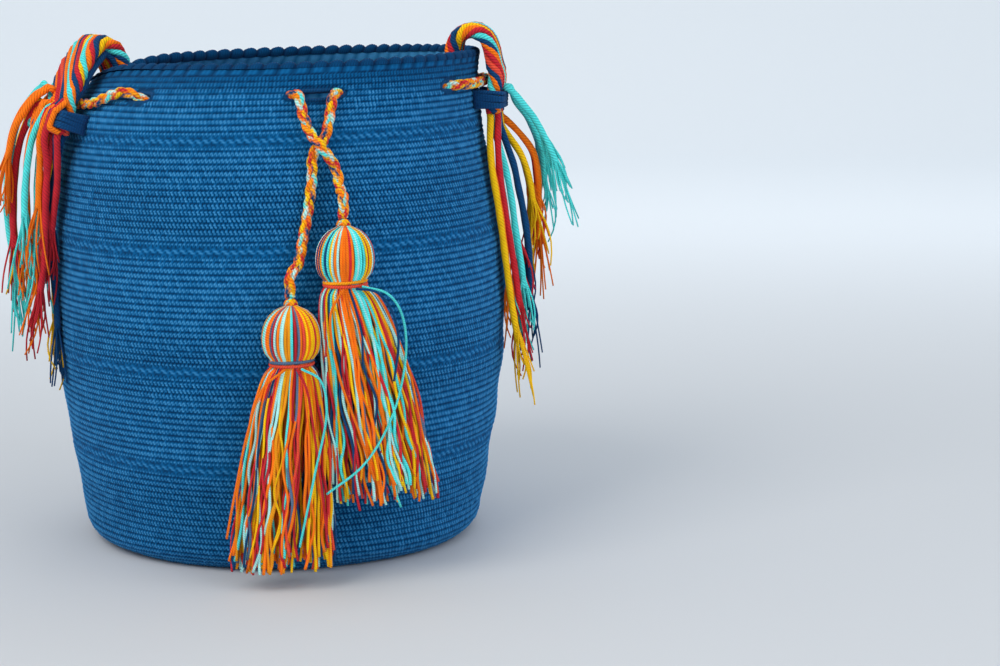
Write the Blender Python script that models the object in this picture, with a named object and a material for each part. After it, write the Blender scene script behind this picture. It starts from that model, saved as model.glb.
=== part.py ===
"""A crocheted mochila bag with its drawstring, two tassels and its stowed shoulder strap.

Lengths are in metres. Z is up, X runs to the right of the bag's front and the front faces -Y.
The origin is the middle of the flat base. An angle goes round the bag from the front, positive
towards +X, in degrees.
"""

import math

import bmesh
import bpy
import numpy as np
from mathutils import Vector

# Crocheted body
BAG_HEIGHT = 0.2855
BASE_RADIUS = 0.1000
FOOT_RADIUS = 0.1185
FOOT_HEIGHT = 0.0145
BELLY_RADIUS = 0.1332
BELLY_HEIGHT = 0.138
SHOULDER_RADIUS = 0.1226
SHOULDER_DROP = 0.039
MOUTH_RADIUS = 0.106
SHOULDER_SHIFT = -0.0036
MOUTH_SHIFT = 0.0118
MOUTH_TILT = 0.10
MOUTH_PULL = 0.0155
MOUTH_DIP = 0.012
PULL_START = 0.6
WALL = 0.0036
COLUMNS = 64
SCALLOP_HEIGHT = 0.0042
SCALLOP_TAPER = 0.52
COURSE_PITCH = 0.0178
COURSE_RIDGE = 0.0008
ROPE_RIDGE = 0.0015
ROPE_HEIGHTS = (0.066, 0.118, 0.183, 0.245)
CORNER_STEPS = 3
LINING_RINGS = 9

# Eyelet slits for the drawstring
EYELET_DROP = 0.0185
EYELET_WIDTH = 0.0195
EYELET_GAP = 0.0078
FRONT_EYELET_WIDTH = 0.040
FRONT_EYELET_ANGLE = 14.0
EYELET_ANGLES = (60.0, 103.0, 138.0, 172.0, 205.0, 237.0, 268.0, 322.0)
CUTTER_DEPTH = 0.024

# Braided drawstring
CORD = 0.0060
CORD_CLEARANCE = 0.0006
CORD_STEP = 0.0128
PASS_ANGLE = 4.2

# Shoulder strap, stowed in the bag with its ends over the rim
STRAP_WIDTH = 0.032
STRAP_THICKNESS = 0.0085
STRAP_EDGE = 0.0020
STRAP_LOBE = 0.0009
STRAP_FLOOR_GAP = 0.0008
STRAP_BEND = 0.026
STRAP_STANDOFF = {"left": 0.0078, "right": 0.0055}
STRAP_SLACK = {"left": 0.0046, "right": 0.0}
STRAP_TAIL = 0.0030
# Angles where the strap's ends cross the rim, the way they face and their slant to the front
STRAP_CROSSINGS = {"left": -75.0, "right": 85.0}
STRAP_ANGLES = {"left": -57.0, "right": 85.0}
STRAP_SLANT = {"left": 0.020, "right": 0.0}
LASHING_DROP = {"left": 0.0320, "right": 0.0290}
LASHING_HEIGHT = 0.0090
LASHING_YARN = 0.0022
LASHING_TURNS = 4
CORD_DROOP = {"left": -0.0070, "right": 0.0}
SEAT = 0.0003
# (out, up, part of the slant) places of the strap's middle from the middle of the rim
STRAP_ARCHES = {
    "left": (
        (0.0262, -0.0040, 0.80), (0.0184, 0.0066, 0.48), (0.0104, 0.0142, 0.20),
        (0.0012, 0.0208, 0.0), (-0.0070, 0.0164, 0.0), (-0.0112, 0.0075, 0.0),
        (-0.0122, -0.0040, 0.0), (-0.0128, -0.0180, 0.0),
    ),
    "right": (
        (0.0125, -0.0060, 0.0), (0.0105, 0.0040, 0.0), (0.0066, 0.0118, 0.0),
        (-0.0010, 0.0148, 0.0), (-0.0085, 0.0115, 0.0), (-0.0115, 0.0035, 0.0),
        (-0.0122, -0.0090, 0.0),
    ),
}

# Fringe cords, which are the strap's own cords running on past the lashings
FRINGE_CORD = 0.0042
FRINGE_STEP = 0.0126
FRINGE_STUB = 0.0028
# Each cord starts on the strap's outer face or on its tip, at a place (across the strap, then above
# the lashing or through the strap), and runs through (angle, drop below the top, standoff) places
FRINGE = {
    "left": {
        "turquoise_arc": (
            "face", 0.0118, 0.0093,
            (
                (-68.7, 0.0274, 0.0220), (-70.1, 0.0285, 0.0217), (-71.6, 0.0304, 0.0223), (-74.5, 0.0386, 0.0265),
                (-75.0, 0.0554, 0.0289), (-74.8, 0.0731, 0.0293), (-74.5, 0.0910, 0.0284), (-74.0, 0.1091, 0.0257),
                (-73.6, 0.1274, 0.0230),
            ),
        ),
        "orange_outer": (
            "face", 0.0048, 0.0095,
            (
                (-64.7, 0.0280, 0.0228), (-64.8, 0.0301, 0.0246), (-65.3, 0.0325, 0.0259), (-67.7, 0.0415, 0.0300),
                (-69.6, 0.0584, 0.0315),
            ),
        ),
        "red_outer": (
            "face", 0.0100, 0.0038,
            (
                (-66.3, 0.0329, 0.0215), (-67.0, 0.0348, 0.0220), (-68.0, 0.0370, 0.0225), (-70.3, 0.0484, 0.0250),
                (-71.5, 0.0629, 0.0259), (-72.1, 0.0779, 0.0259), (-72.4, 0.0932, 0.0255), (-72.4, 0.1086, 0.0245),
            ),
        ),
        "orange_thick": (
            "face", 0.0020, 0.0041,
            (
                (-62.7, 0.0327, 0.0205), (-62.9, 0.0348, 0.0207), (-63.3, 0.0373, 0.0209), (-64.8, 0.0518, 0.0223),
                (-66.1, 0.0684, 0.0216), (-66.8, 0.0853, 0.0200), (-67.3, 0.1026, 0.0188),
            ),
        ),
        "turquoise_middle": (
            "tip", 0.0040, 0.0021,
            (
                (-63.4, 0.0488, 0.0153), (-63.9, 0.0563, 0.0162), (-64.8, 0.0725, 0.0157), (-65.7, 0.0888, 0.0148),
                (-66.6, 0.1052, 0.0147),
            ),
        ),
        "red_middle": (
            "tip", -0.0050, 0.0021,
            (
                (-59.7, 0.0488, 0.0138), (-60.3, 0.0564, 0.0137), (-61.5, 0.0750, 0.0132), (-62.5, 0.0938, 0.0121),
                (-63.4, 0.1128, 0.0118), (-64.6, 0.1317, 0.0138),
            ),
        ),
        "red_inner": (
            "tip", -0.0118, 0.0021,
            (
                (-57.2, 0.0486, 0.0124), (-58.2, 0.0557, 0.0105), (-60.3, 0.0703, 0.0078), (-62.3, 0.0853, 0.0073),
                (-64.0, 0.1006, 0.0077),
            ),
        ),
        "navy_inner": (
            "tip", -0.0085, -0.0021,
            (
                (-59.1, 0.0485, 0.0090), (-60.8, 0.0553, 0.0083), (-63.9, 0.0705, 0.0074), (-65.7, 0.0869, 0.0068),
                (-66.6, 0.1038, 0.0059), (-67.0, 0.1209, 0.0046), (-66.9, 0.1381, 0.0033), (-66.7, 0.1553, 0.0032),
            ),
        ),
    },
    "right": {
        "yellow_front": (
            "tip", -0.0115, -0.0021,
            (
                (79.1, 0.0458, 0.0074), (77.6, 0.0528, 0.0066), (75.9, 0.0690, 0.0058), (76.0, 0.0856, 0.0057),
                (76.5, 0.1022, 0.0055), (77.1, 0.1188, 0.0054), (77.5, 0.1353, 0.0063), (77.8, 0.1516, 0.0085),
                (78.0, 0.1675, 0.0119),
            ),
        ),
        "red_front": (
            "tip", -0.0080, 0.0021,
            (
                (81.1, 0.0461, 0.0112), (80.1, 0.0536, 0.0101), (79.1, 0.0697, 0.0084), (79.2, 0.0860, 0.0078),
                (79.6, 0.1022, 0.0077), (80.0, 0.1184, 0.0084), (80.3, 0.1345, 0.0096), (80.5, 0.1504, 0.0113),
            ),
        ),
        "turquoise_front": (
            "tip", -0.0045, -0.0021,
            (
                (82.7, 0.0462, 0.0081), (82.1, 0.0538, 0.0090), (82.0, 0.0712, 0.0108), (82.3, 0.0886, 0.0112),
                (82.7, 0.1058, 0.0109), (82.9, 0.1230, 0.0118), (82.9, 0.1400, 0.0131),
            ),
        ),
        "navy_thick": (
            "tip", -0.0010, 0.0021,
            (
                (84.5, 0.0464, 0.0113), (84.3, 0.0540, 0.0126), (84.4, 0.0699, 0.0152), (85.1, 0.0857, 0.0157),
                (85.8, 0.1013, 0.0164), (86.1, 0.1170, 0.0166), (86.2, 0.1325, 0.0161), (86.2, 0.1479, 0.0158),
            ),
        ),
        "yellow_short": (
            "tip", 0.0045, 0.0021,
            (
                (87.2, 0.0464, 0.0116), (87.4, 0.0536, 0.0146), (88.1, 0.0674, 0.0203), (89.1, 0.0819, 0.0221),
                (90.1, 0.0964, 0.0220),
            ),
        ),
        "orange_rear": (
            "tip", 0.0100, 0.0021,
            (
                (89.7, 0.0455, 0.0151), (90.2, 0.0518, 0.0197), (91.2, 0.0664, 0.0271), (92.1, 0.0824, 0.0275),
                (92.7, 0.0982, 0.0251), (93.0, 0.1140, 0.0232),
            ),
        ),
        "turquoise_outer": (
            "face", -0.0040, 0.0030,
            (
                (84.1, 0.0253, 0.0203), (85.0, 0.0286, 0.0222), (86.0, 0.0333, 0.0247), (87.7, 0.0473, 0.0315),
                (88.6, 0.0607, 0.0361), (89.3, 0.0743, 0.0394),
            ),
        ),
        "turquoise_rear": (
            "face", 0.0060, 0.0030,
            (
                (88.5, 0.0251, 0.0198), (89.6, 0.0283, 0.0206), (90.9, 0.0331, 0.0218), (93.2, 0.0500, 0.0292),
                (94.3, 0.0671, 0.0326), (95.1, 0.0843, 0.0310),
            ),
        ),
    },
}

# Tassels
TASSELS = {
    "left": {"angle": 7.2, "pivot": 0.1560, "skirt": 0.1105, "lean": -0.0085, "foot": 0.0235},
    "right": {"angle": 18.7, "pivot": 0.1983, "skirt": 0.1190, "lean": 0.0198, "foot": 0.0288},
}
TOP_KNOT_RADIUS = 0.0048
TASSEL_STANDOFF = 0.0098
TASSEL_BACK_GAP = 0.0008
HEAD_RADIUS = 0.0145
HEAD_LENGTH = 0.0240
HEAD_DEPTH = 0.80
# (part of the head's length, part of its radius)
HEAD_SHAPE = ((0.0, 0.40), (0.07, 0.74), (0.26, 0.97), (0.50, 1.0), (0.74, 0.95), (0.93, 0.76))
NECK_RADIUS = 0.0100
BINDING_THICKNESS = 0.0020
BINDING_HEIGHT = 0.0060
BINDING_TURNS = 2
FLUTE = 0.0008
RAGGED = 0.0045
TASSEL_COLUMNS = 28
FOOT_DEPTH = 0.0085

NAVY = (0.030, 0.060, 0.130)
ORANGE = (0.850, 0.180, 0.020)
TURQUOISE = (0.180, 0.720, 0.680)
RED = (0.480, 0.030, 0.045)
YELLOW = (0.900, 0.480, 0.020)
BLUE = (0.007, 0.108, 0.275)
MIXED = (0.750, 0.320, 0.110)


def make_collection(name, shown=True):
    collection = bpy.data.collections.new(name)
    collection.hide_render = not shown
    bpy.context.scene.collection.children.link(collection)
    return collection


def yarn_material(name, colour, roughness=0.9):
    material = bpy.data.materials.new(name)
    material.use_nodes = True
    shader = material.node_tree.nodes["Principled BSDF"]
    shader.inputs["Base Color"].default_value = (*colour, 1.0)
    shader.inputs["Roughness"].default_value = roughness
    shader.inputs["Metallic"].default_value = 0.0
    return material


def finish_mesh(mesh_data, name, collection, material, origin=(0.0, 0.0, 0.0)):
    """Writes a bmesh to a new object with this origin, smooth shaded except at sharp edges."""
    bmesh.ops.recalc_face_normals(mesh_data, faces=mesh_data.faces)
    bmesh.ops.translate(mesh_data, vec=-Vector(origin), verts=mesh_data.verts)
    mesh = bpy.data.meshes.new(name)
    mesh_data.to_mesh(mesh)
    mesh_data.free()
    mesh.shade_smooth()
    mesh.set_sharp_from_angle(angle=math.radians(40.0))
    mesh.materials.append(material)
    obj = bpy.data.objects.new(name, mesh)
    obj.location = origin
    collection.objects.link(obj)
    return obj


def bridge(mesh_data, rings, is_closed=False):
    """Joins each ring of vertices to the next one. Open tubes get a face on both ends."""
    if is_closed:
        rings = rings + rings[:1]
    else:
        mesh_data.faces.new(rings[0])
        mesh_data.faces.new(rings[-1][::-1])
    for low, high in zip(rings, rings[1:]):
        pairs = list(zip(low, high))
        for (a, d), (b, c) in zip(pairs, pairs[1:] + pairs[:1]):
            mesh_data.faces.new((a, b, c, d))


def eased(xs, ys, x):
    """A smooth curve through (xs, ys) that never overshoots, read at x."""
    xs, ys = np.asarray(xs, float), np.asarray(ys, float)
    width = np.diff(xs)
    rise = np.diff(ys) / width
    slope = np.concatenate([[rise[0]], np.zeros(len(xs) - 2), [rise[-1]]])
    for i in range(1, len(xs) - 1):
        if rise[i - 1] * rise[i] > 0:
            near, far = 2 * width[i] + width[i - 1], width[i] + 2 * width[i - 1]
            slope[i] = (near + far) / (near / rise[i - 1] + far / rise[i])
    x = min(max(x, xs[0]), xs[-1])
    i = min(max(int(np.searchsorted(xs, x)) - 1, 0), len(width) - 1)
    t = (x - xs[i]) / width[i]
    start = (2 * t**3 - 3 * t**2 + 1) * ys[i] + (t**3 - 2 * t**2 + t) * width[i] * slope[i]
    end = (3 * t**2 - 2 * t**3) * ys[i + 1] + (t**3 - t**2) * width[i] * slope[i + 1]
    return float(start + end)


def smooth_curve(points, per_span=12):
    """Points along a centripetal Catmull-Rom curve through the given ones."""
    points = [Vector(p) for p in points]
    points = [2 * points[0] - points[1], *points, 2 * points[-1] - points[-2]]
    curve = []
    for a, b, c, d in zip(points, points[1:], points[2:], points[3:]):
        t1 = (b - a).length ** 0.5
        t2 = t1 + (c - b).length ** 0.5
        t3 = t2 + (d - c).length ** 0.5
        for i in range(per_span):
            t = t1 + (t2 - t1) * i / per_span
            first = a.lerp(b, t / t1)
            second = b.lerp(c, (t - t1) / (t2 - t1))
            third = c.lerp(d, (t - t2) / (t3 - t2))
            low = first.lerp(second, t / t2)
            high = second.lerp(third, (t - t1) / (t3 - t1))
            curve.append(low.lerp(high, (t - t1) / (t2 - t1)))
    curve.append(points[-2])
    return curve


def cord_points(route, step):
    """Points of a smooth curve through the route, about a step apart. Each route point is one."""
    dense = smooth_curve(route)
    points = [dense[0]]
    for k in range(0, len(dense) - 1, 12):
        span = dense[k:k + 13]
        count = max(1, round((span[-1] - span[0]).length / step))
        points += [span[round(12 * part / count)] for part in range(1, count + 1)]
    return points


# The wall's surface

RIM_HEIGHT = BAG_HEIGHT - SCALLOP_HEIGHT
SHOULDER_HEIGHT = BAG_HEIGHT - SHOULDER_DROP
EYELET_HEIGHT = BAG_HEIGHT - EYELET_DROP


def wall_radius(height):
    """Radius of the wall's outside, without the ridges of its courses."""
    if height < FOOT_HEIGHT:
        drop = 1.0 - max(height, 0.0) / FOOT_HEIGHT
        return BASE_RADIUS + (FOOT_RADIUS - BASE_RADIUS) * math.sqrt(1.0 - drop**2)
    heights = (FOOT_HEIGHT, BELLY_HEIGHT, SHOULDER_HEIGHT, BAG_HEIGHT)
    radii = (FOOT_RADIUS, BELLY_RADIUS, SHOULDER_RADIUS, MOUTH_RADIUS)
    swell = 0.0
    if height < BELLY_HEIGHT:
        part = (height - FOOT_HEIGHT) / (BELLY_HEIGHT - FOOT_HEIGHT)
        swell = 0.26 * part * (1.0 - part) ** 2 * (BELLY_RADIUS - FOOT_RADIUS)
    return eased(heights, radii, height) + swell


def wall_shift(height):
    """Sideways place of the wall's middle: the mouth leans to +X."""
    heights = (0.0, BELLY_HEIGHT, SHOULDER_HEIGHT, BAG_HEIGHT)
    return eased(heights, (0.0, 0.0, SHOULDER_SHIFT, MOUTH_SHIFT), height)


def tilt(x, height):
    """How many times higher the tilted bag has this point than the upright one."""
    return 1.0 + MOUTH_TILT * x * min(1.0, height / BELLY_HEIGHT)


def pulled(x, y, height):
    """How far the strap draws the mouth's left side (out, down)."""
    part = (height - SHOULDER_HEIGHT) / (BAG_HEIGHT - SHOULDER_HEIGHT)
    if part <= 0.0:
        return 0.0, 0.0
    near = max(0.0, (-x / math.hypot(x, y) - PULL_START) / (1.0 - PULL_START))
    rise = part * part
    return MOUTH_PULL * rise * near**3, MOUTH_DIP * rise * near**5


def leaned(point):
    """A point of the upright turned shape, moved to where the leaning bag has it."""
    out, down = pulled(*point)
    x = point[0] + wall_shift(point[2]) - out
    return Vector((x, point[1], point[2] * tilt(x, point[2]) - down))


def on_wall(angle, height, standoff=0.0):
    """A point at this angle and height, standing off along the wall's outward normal."""

    def surface(turn, level):
        radius = wall_radius(level)
        return leaned((radius * math.sin(turn), -radius * math.cos(turn), level))

    turn, small = math.radians(angle), 1e-4
    around = surface(turn + small, height) - surface(turn - small, height)
    upward = surface(turn, height + small) - surface(turn, height - small)
    return surface(turn, height) + standoff * around.cross(upward).normalized()


def under(place, standoff):
    """The point of the wall level with this place and on the same side, with its standoff."""
    height = place.z
    turn = math.atan2(place.x, -place.y)
    angle = turn
    for _ in range(6):
        near = on_wall(math.degrees(angle), height)
        height += place.z - near.z
        angle += turn - math.atan2(near.x, -near.y)
    return on_wall(math.degrees(angle), height, standoff)


def drop_to_wall(place, direction, standoff):
    """Moves a place along the direction until it has this standoff from the wall."""
    for _ in range(8):
        place = place + direction * (under(place, standoff) - place).dot(direction)
    return place


def outward(angle):
    turn = math.radians(angle)
    return Vector((math.sin(turn), -math.cos(turn), 0.0))


def sideways(angle):
    turn = math.radians(angle)
    return Vector((math.cos(turn), math.sin(turn), 0.0))


# Crocheted body


def wall_profile():
    """(radius, height) from the base's middle, up the ridged outside and down the inside."""
    line = []
    for i in range(241):
        height = RIM_HEIGHT * (i / 240) ** 1.4
        line.append((wall_radius(height), height))
    line = np.array(line)
    along = np.concatenate([[0.0], np.cumsum(np.linalg.norm(np.diff(line, axis=0), axis=1))])
    corner = np.interp(FOOT_HEIGHT, line[:, 1], along)
    courses = max(4, round((along[-1] - corner) / COURSE_PITCH))
    outside = [(0.0, 0.0), (0.5 * BASE_RADIUS, 0.0), (BASE_RADIUS, 0.0)]
    for place in np.linspace(0.0, corner, CORNER_STEPS + 1)[1:]:
        outside.append(tuple(float(np.interp(place, along, line[:, k])) for k in (0, 1)))
    for i, place in enumerate(np.linspace(corner, along[-1], 2 * courses + 1)[1:]):
        radius, height = (float(np.interp(place, along, line[:, k])) for k in (0, 1))
        if i % 2 == 0:
            is_rope = any(abs(height - rope) < 0.5 * COURSE_PITCH for rope in ROPE_HEIGHTS)
            radius += ROPE_RIDGE if is_rope else COURSE_RIDGE
        outside.append((radius, height))
    inside = []
    for i in range(LINING_RINGS + 1):
        height = RIM_HEIGHT + (FOOT_HEIGHT - RIM_HEIGHT) * (i / LINING_RINGS) ** 1.6
        inside.append((wall_radius(height) - WALL, height))
    inside += [(BASE_RADIUS, 1.5 * WALL), (0.86 * BASE_RADIUS, WALL), (0.0, WALL)]
    return outside + inside


def add_scallops(mesh_data):
    """Raises one rounded scallop from each of the rim's faces."""
    rim = [face for face in mesh_data.faces if min(v.co.z for v in face.verts) > RIM_HEIGHT - 1e-5]
    raised = bmesh.ops.extrude_discrete_faces(mesh_data, faces=rim)["faces"]
    for face in raised:
        middle = face.calc_center_median()
        top = middle + Vector((0.0, 0.0, SCALLOP_HEIGHT))
        for vert in face.verts:
            vert.co = top + (vert.co - middle) * SCALLOP_TAPER


def eyelet_cutters(collection):
    """Lying prisms with cut corners, one through the wall at each eyelet."""
    mesh_data = bmesh.new()
    slits = [(FRONT_EYELET_ANGLE, FRONT_EYELET_WIDTH)]
    slits += [(angle, EYELET_WIDTH) for angle in EYELET_ANGLES]
    tall = 0.5 * EYELET_GAP
    for angle, width in slits:
        middle = on_wall(angle, EYELET_HEIGHT, -0.5 * WALL)
        normal = (on_wall(angle, EYELET_HEIGHT, 0.01) - middle).normalized()
        along = sideways(angle)
        rise = normal.cross(along)
        half = 0.5 * width
        corners = [(half, 0.4 * tall), (half - 0.6 * tall, tall)]
        corners += [(-x, y) for x, y in corners[::-1]]
        corners += [(-x, -y) for x, y in corners]
        rings = []
        for depth in (-0.5 * CUTTER_DEPTH, 0.5 * CUTTER_DEPTH):
            end = middle + normal * depth
            rings.append([mesh_data.verts.new(end + along * x + rise * y) for x, y in corners])
        bridge(mesh_data, rings)
    cutters = finish_mesh(mesh_data, "eyelet_cutters", collection, yarn_material("cutter", BLUE))
    cutters.hide_render = True
    cutters.display_type = "WIRE"
    return cutters


def make_body(parts, helpers):
    """The bag is one crocheted piece: base, ridged wall, scalloped rim and eyelet slits."""
    mesh_data = bmesh.new()
    verts = [mesh_data.verts.new((radius, 0.0, height)) for radius, height in wall_profile()]
    edges = [mesh_data.edges.new(pair) for pair in zip(verts, verts[1:])]
    bmesh.ops.spin(
        mesh_data,
        geom=verts + edges,
        cent=(0.0, 0.0, 0.0),
        axis=(0.0, 0.0, 1.0),
        angle=math.tau,
        steps=COLUMNS,
        use_merge=True,
    )
    bmesh.ops.remove_doubles(mesh_data, verts=mesh_data.verts, dist=1e-6)
    add_scallops(mesh_data)
    for vert in mesh_data.verts:
        vert.co = leaned(vert.co)
    body = finish_mesh(mesh_data, "bag_body", parts, yarn_material("blue_cotton_yarn", BLUE))
    cut = body.modifiers.new("eyelets", "BOOLEAN")
    cut.operation = "DIFFERENCE"
    cut.solver = "EXACT"
    cut.object = eyelet_cutters(helpers)


# Strap

STRAP_SPAN_RINGS = 2
OVER_CORD = CORD + 2 * CORD_CLEARANCE + COURSE_RIDGE
STRAP_FLOOR = WALL + STRAP_FLOOR_GAP + 0.5 * STRAP_THICKNESS


def strap_stations(side):
    """Middles of one strap end: its tip, the lashing's two edges, then over the rim and in.

    They lie in one upright plane, apart from the outer leg's slant towards the bag's front.
    """
    facing = STRAP_ANGLES[side]
    across = sideways(facing) * (1.0 if side == "left" else -1.0)
    out = outward(facing)
    crossing = outward(STRAP_CROSSINGS[side])
    rim = crossing * MOUTH_RADIUS
    rim.z = on_wall(STRAP_CROSSINGS[side], RIM_HEIGHT).z
    rim = drop_to_wall(rim, crossing, -0.5 * WALL)
    lash = BAG_HEIGHT - LASHING_DROP[side]
    half = 0.5 * STRAP_THICKNESS
    edge = 0.5 * LASHING_HEIGHT
    outer_leg = [
        (lash - edge - STRAP_TAIL, STRAP_STANDOFF[side]),
        (lash - edge, STRAP_STANDOFF[side]),
        (lash + edge, STRAP_STANDOFF[side] + 0.0012),
        (EYELET_HEIGHT + CORD_DROOP[side] + 0.5 * CORD, OVER_CORD + STRAP_SLACK[side]),
    ]
    stations = []
    for height, gap in outer_leg:
        start = rim + across * STRAP_SLANT[side]
        start.z = height * tilt(start.x, height)
        stations.append(drop_to_wall(start, out, 0.0) + out * (half + gap))
    for away, up, slant in STRAP_ARCHES[side]:
        slid = across * STRAP_SLANT[side] * slant
        stations.append(rim + out * away + slid + Vector((0.0, 0.0, up)))
    return stations


def strap_line():
    """The strap's middle line from its left tip, through the bag, to its right tip."""
    left, right = strap_stations("left"), strap_stations("right")
    bend = STRAP_BEND
    inside = []
    for stations, side in ((left, "left"), (right, "right")):
        top = stations[-1]
        inward = -outward(STRAP_ANGLES[side])
        runs = [(0.0, 0.165), (0.0, 0.090), (0.0, bend), (0.29 * bend, 0.29 * bend), (bend, 0.0)]
        low = Vector((top.x, top.y, STRAP_FLOOR))
        inside.append([low + inward * run + Vector((0.0, 0.0, rise)) for run, rise in runs])
    middle = 0.5 * (inside[0][-1] + inside[1][-1])
    return left + inside[0] + [middle] + inside[1][::-1] + right[::-1]


def strap_frames():
    """(middle, width direction, outward direction) of each ring along the strap."""
    line = smooth_curve(strap_line(), per_span=STRAP_SPAN_RINGS)
    start, end = -sideways(STRAP_ANGLES["left"]), sideways(STRAP_ANGLES["right"])
    travelled = np.cumsum([0.0] + [(b - a).length for a, b in zip(line, line[1:])])
    frames = []
    for i, place in enumerate(line):
        place.z = max(place.z, STRAP_FLOOR)
        tangent = (line[min(i + 1, len(line) - 1)] - line[max(i - 1, 0)]).normalized()
        part = min(1.0, max(0.0, (travelled[i] / travelled[-1] - 0.40) / 0.20))
        width = start.slerp(end, part * part * (3 - 2 * part))
        if place.z < 0.5 * BAG_HEIGHT:
            width = (width - tangent * width.dot(tangent)).normalized()
        frames.append((place, width, tangent.cross(width).normalized()))
    return frames


def end_frames(side):
    """The strap's frames counted from this side's tip."""
    frames = strap_frames()
    return frames if side == "left" else frames[::-1]


def frame_between(frames, position):
    """A frame part of the way from one ring of the strap to the next."""
    low = min(int(position), len(frames) - 2)
    return [a.lerp(b, position - low) for a, b in zip(frames[low], frames[low + 1])]


def strap_section(half_width, half_thickness):
    """A flat section with cut corners, as (across, through) points."""
    edge = STRAP_EDGE
    points = [(half_width, half_thickness - edge), (half_width - edge, half_thickness)]
    points += [(-x, y) for x, y in points[::-1]]
    return points + [(-x, -y) for x, y in points]


def make_strap(parts):
    """Sweeps the flat section along the strap's line. Its edges are lobed by the cords' turns."""
    mesh_data = bmesh.new()
    rings = []
    for i, (place, width, out) in enumerate(strap_frames()):
        lobe = STRAP_LOBE if i % 2 else -STRAP_LOBE
        section = strap_section(0.5 * STRAP_WIDTH + lobe, 0.5 * STRAP_THICKNESS)
        rings.append([mesh_data.verts.new(place + width * a + out * b) for a, b in section])
    bridge(mesh_data, rings)
    finish_mesh(mesh_data, "strap", parts, yarn_material("strap_cords", ORANGE))


def make_lashing(side, parts, material):
    """Yarn sewn over the strap's end in a few turns side by side, down to the wall."""
    frames = end_frames(side)
    half_width = 0.5 * STRAP_WIDTH + STRAP_LOBE + SEAT
    top = 0.5 * STRAP_THICKNESS + SEAT
    yarn, edge = LASHING_YARN, STRAP_EDGE
    away = 1.0 if frames[0][2].dot(outward(STRAP_ANGLES[side])) > 0 else -1.0
    steps = 2 * LASHING_TURNS
    mesh_data = bmesh.new()
    rings = []
    for i in range(steps + 1):
        place, width, out = frame_between(frames, STRAP_SPAN_RINGS * (1.0 + i / steps))
        out = out * away
        dip = 0.0 if i % 2 else 0.35 * yarn
        outer = [(half_width + yarn - dip, top - edge), (half_width - edge, top + yarn - dip)]
        inner = [(half_width, top - edge), (half_width - edge, top)]
        ring = []
        for points, order in ((outer, 1), (inner, -1)):
            feet = [place + width * points[0][0] * sign for sign in (-1.0, 1.0)]
            feet = [drop_to_wall(foot, out, COURSE_RIDGE + SEAT) for foot in feet]
            over = [place - width * x + out * y for x, y in points]
            over += [place + width * x + out * y for x, y in points[::-1]]
            ring += [feet[0], *over, feet[1]][::order]
        rings.append([mesh_data.verts.new(point) for point in ring])
    bridge(mesh_data, rings)
    finish_mesh(mesh_data, "strap_lashing_" + side, parts, material)


# Cords


def make_tube(name, route, step, diameter, parts, material):
    """A cord of its full thickness along a smooth curve through the route."""
    points = cord_points(route, step)
    curve = bpy.data.curves.new(name, "CURVE")
    curve.dimensions = "3D"
    curve.bevel_depth = 0.5 * diameter
    curve.bevel_resolution = 2
    curve.use_fill_caps = True
    spline = curve.splines.new("POLY")
    spline.points.add(len(points) - 1)
    for spline_point, place in zip(spline.points, points):
        spline_point.co = (*place, 1.0)
    curve.materials.append(material)
    parts.objects.link(bpy.data.objects.new(name, curve))


OUTSIDE = 0.5 * CORD + COURSE_RIDGE + CORD_CLEARANCE
INSIDE = -(WALL + 0.5 * CORD + CORD_CLEARANCE)
MIDWALL = -0.5 * WALL

# (angle, height above the eyelets, standoff) from inside the front slit down to each tassel
RIGHT_TASSEL_ROUTE = (
    (-3.5, 0.0000, INSIDE),
    (4.2, 0.0000, INSIDE),
    (9.2, -0.0010, OUTSIDE),
    (12.4, -0.0120, OUTSIDE + 0.0008),
    (14.4, -0.0215, OUTSIDE + 0.0044),
    (16.4, -0.0290, OUTSIDE + 0.0082),
    (19.8, -0.0400, OUTSIDE + 0.0034),
    (20.0, -0.0510, OUTSIDE + 0.0070),
)
LEFT_TASSEL_ROUTE = (
    (31.5, 0.0000, INSIDE),
    (23.8, 0.0000, INSIDE),
    (18.8, -0.0014, OUTSIDE),
    (19.1, -0.0130, OUTSIDE + 0.0006),
    (17.8, -0.0240, OUTSIDE + 0.0012),
    (14.9, -0.0320, OUTSIDE + 0.0012),
    (14.2, -0.0450, OUTSIDE + 0.0008),
    (12.9, -0.0600, OUTSIDE + 0.0008),
    (11.2, -0.0750, OUTSIDE + 0.0020),
    (9.3, -0.0900, OUTSIDE + 0.0060),
)


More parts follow.
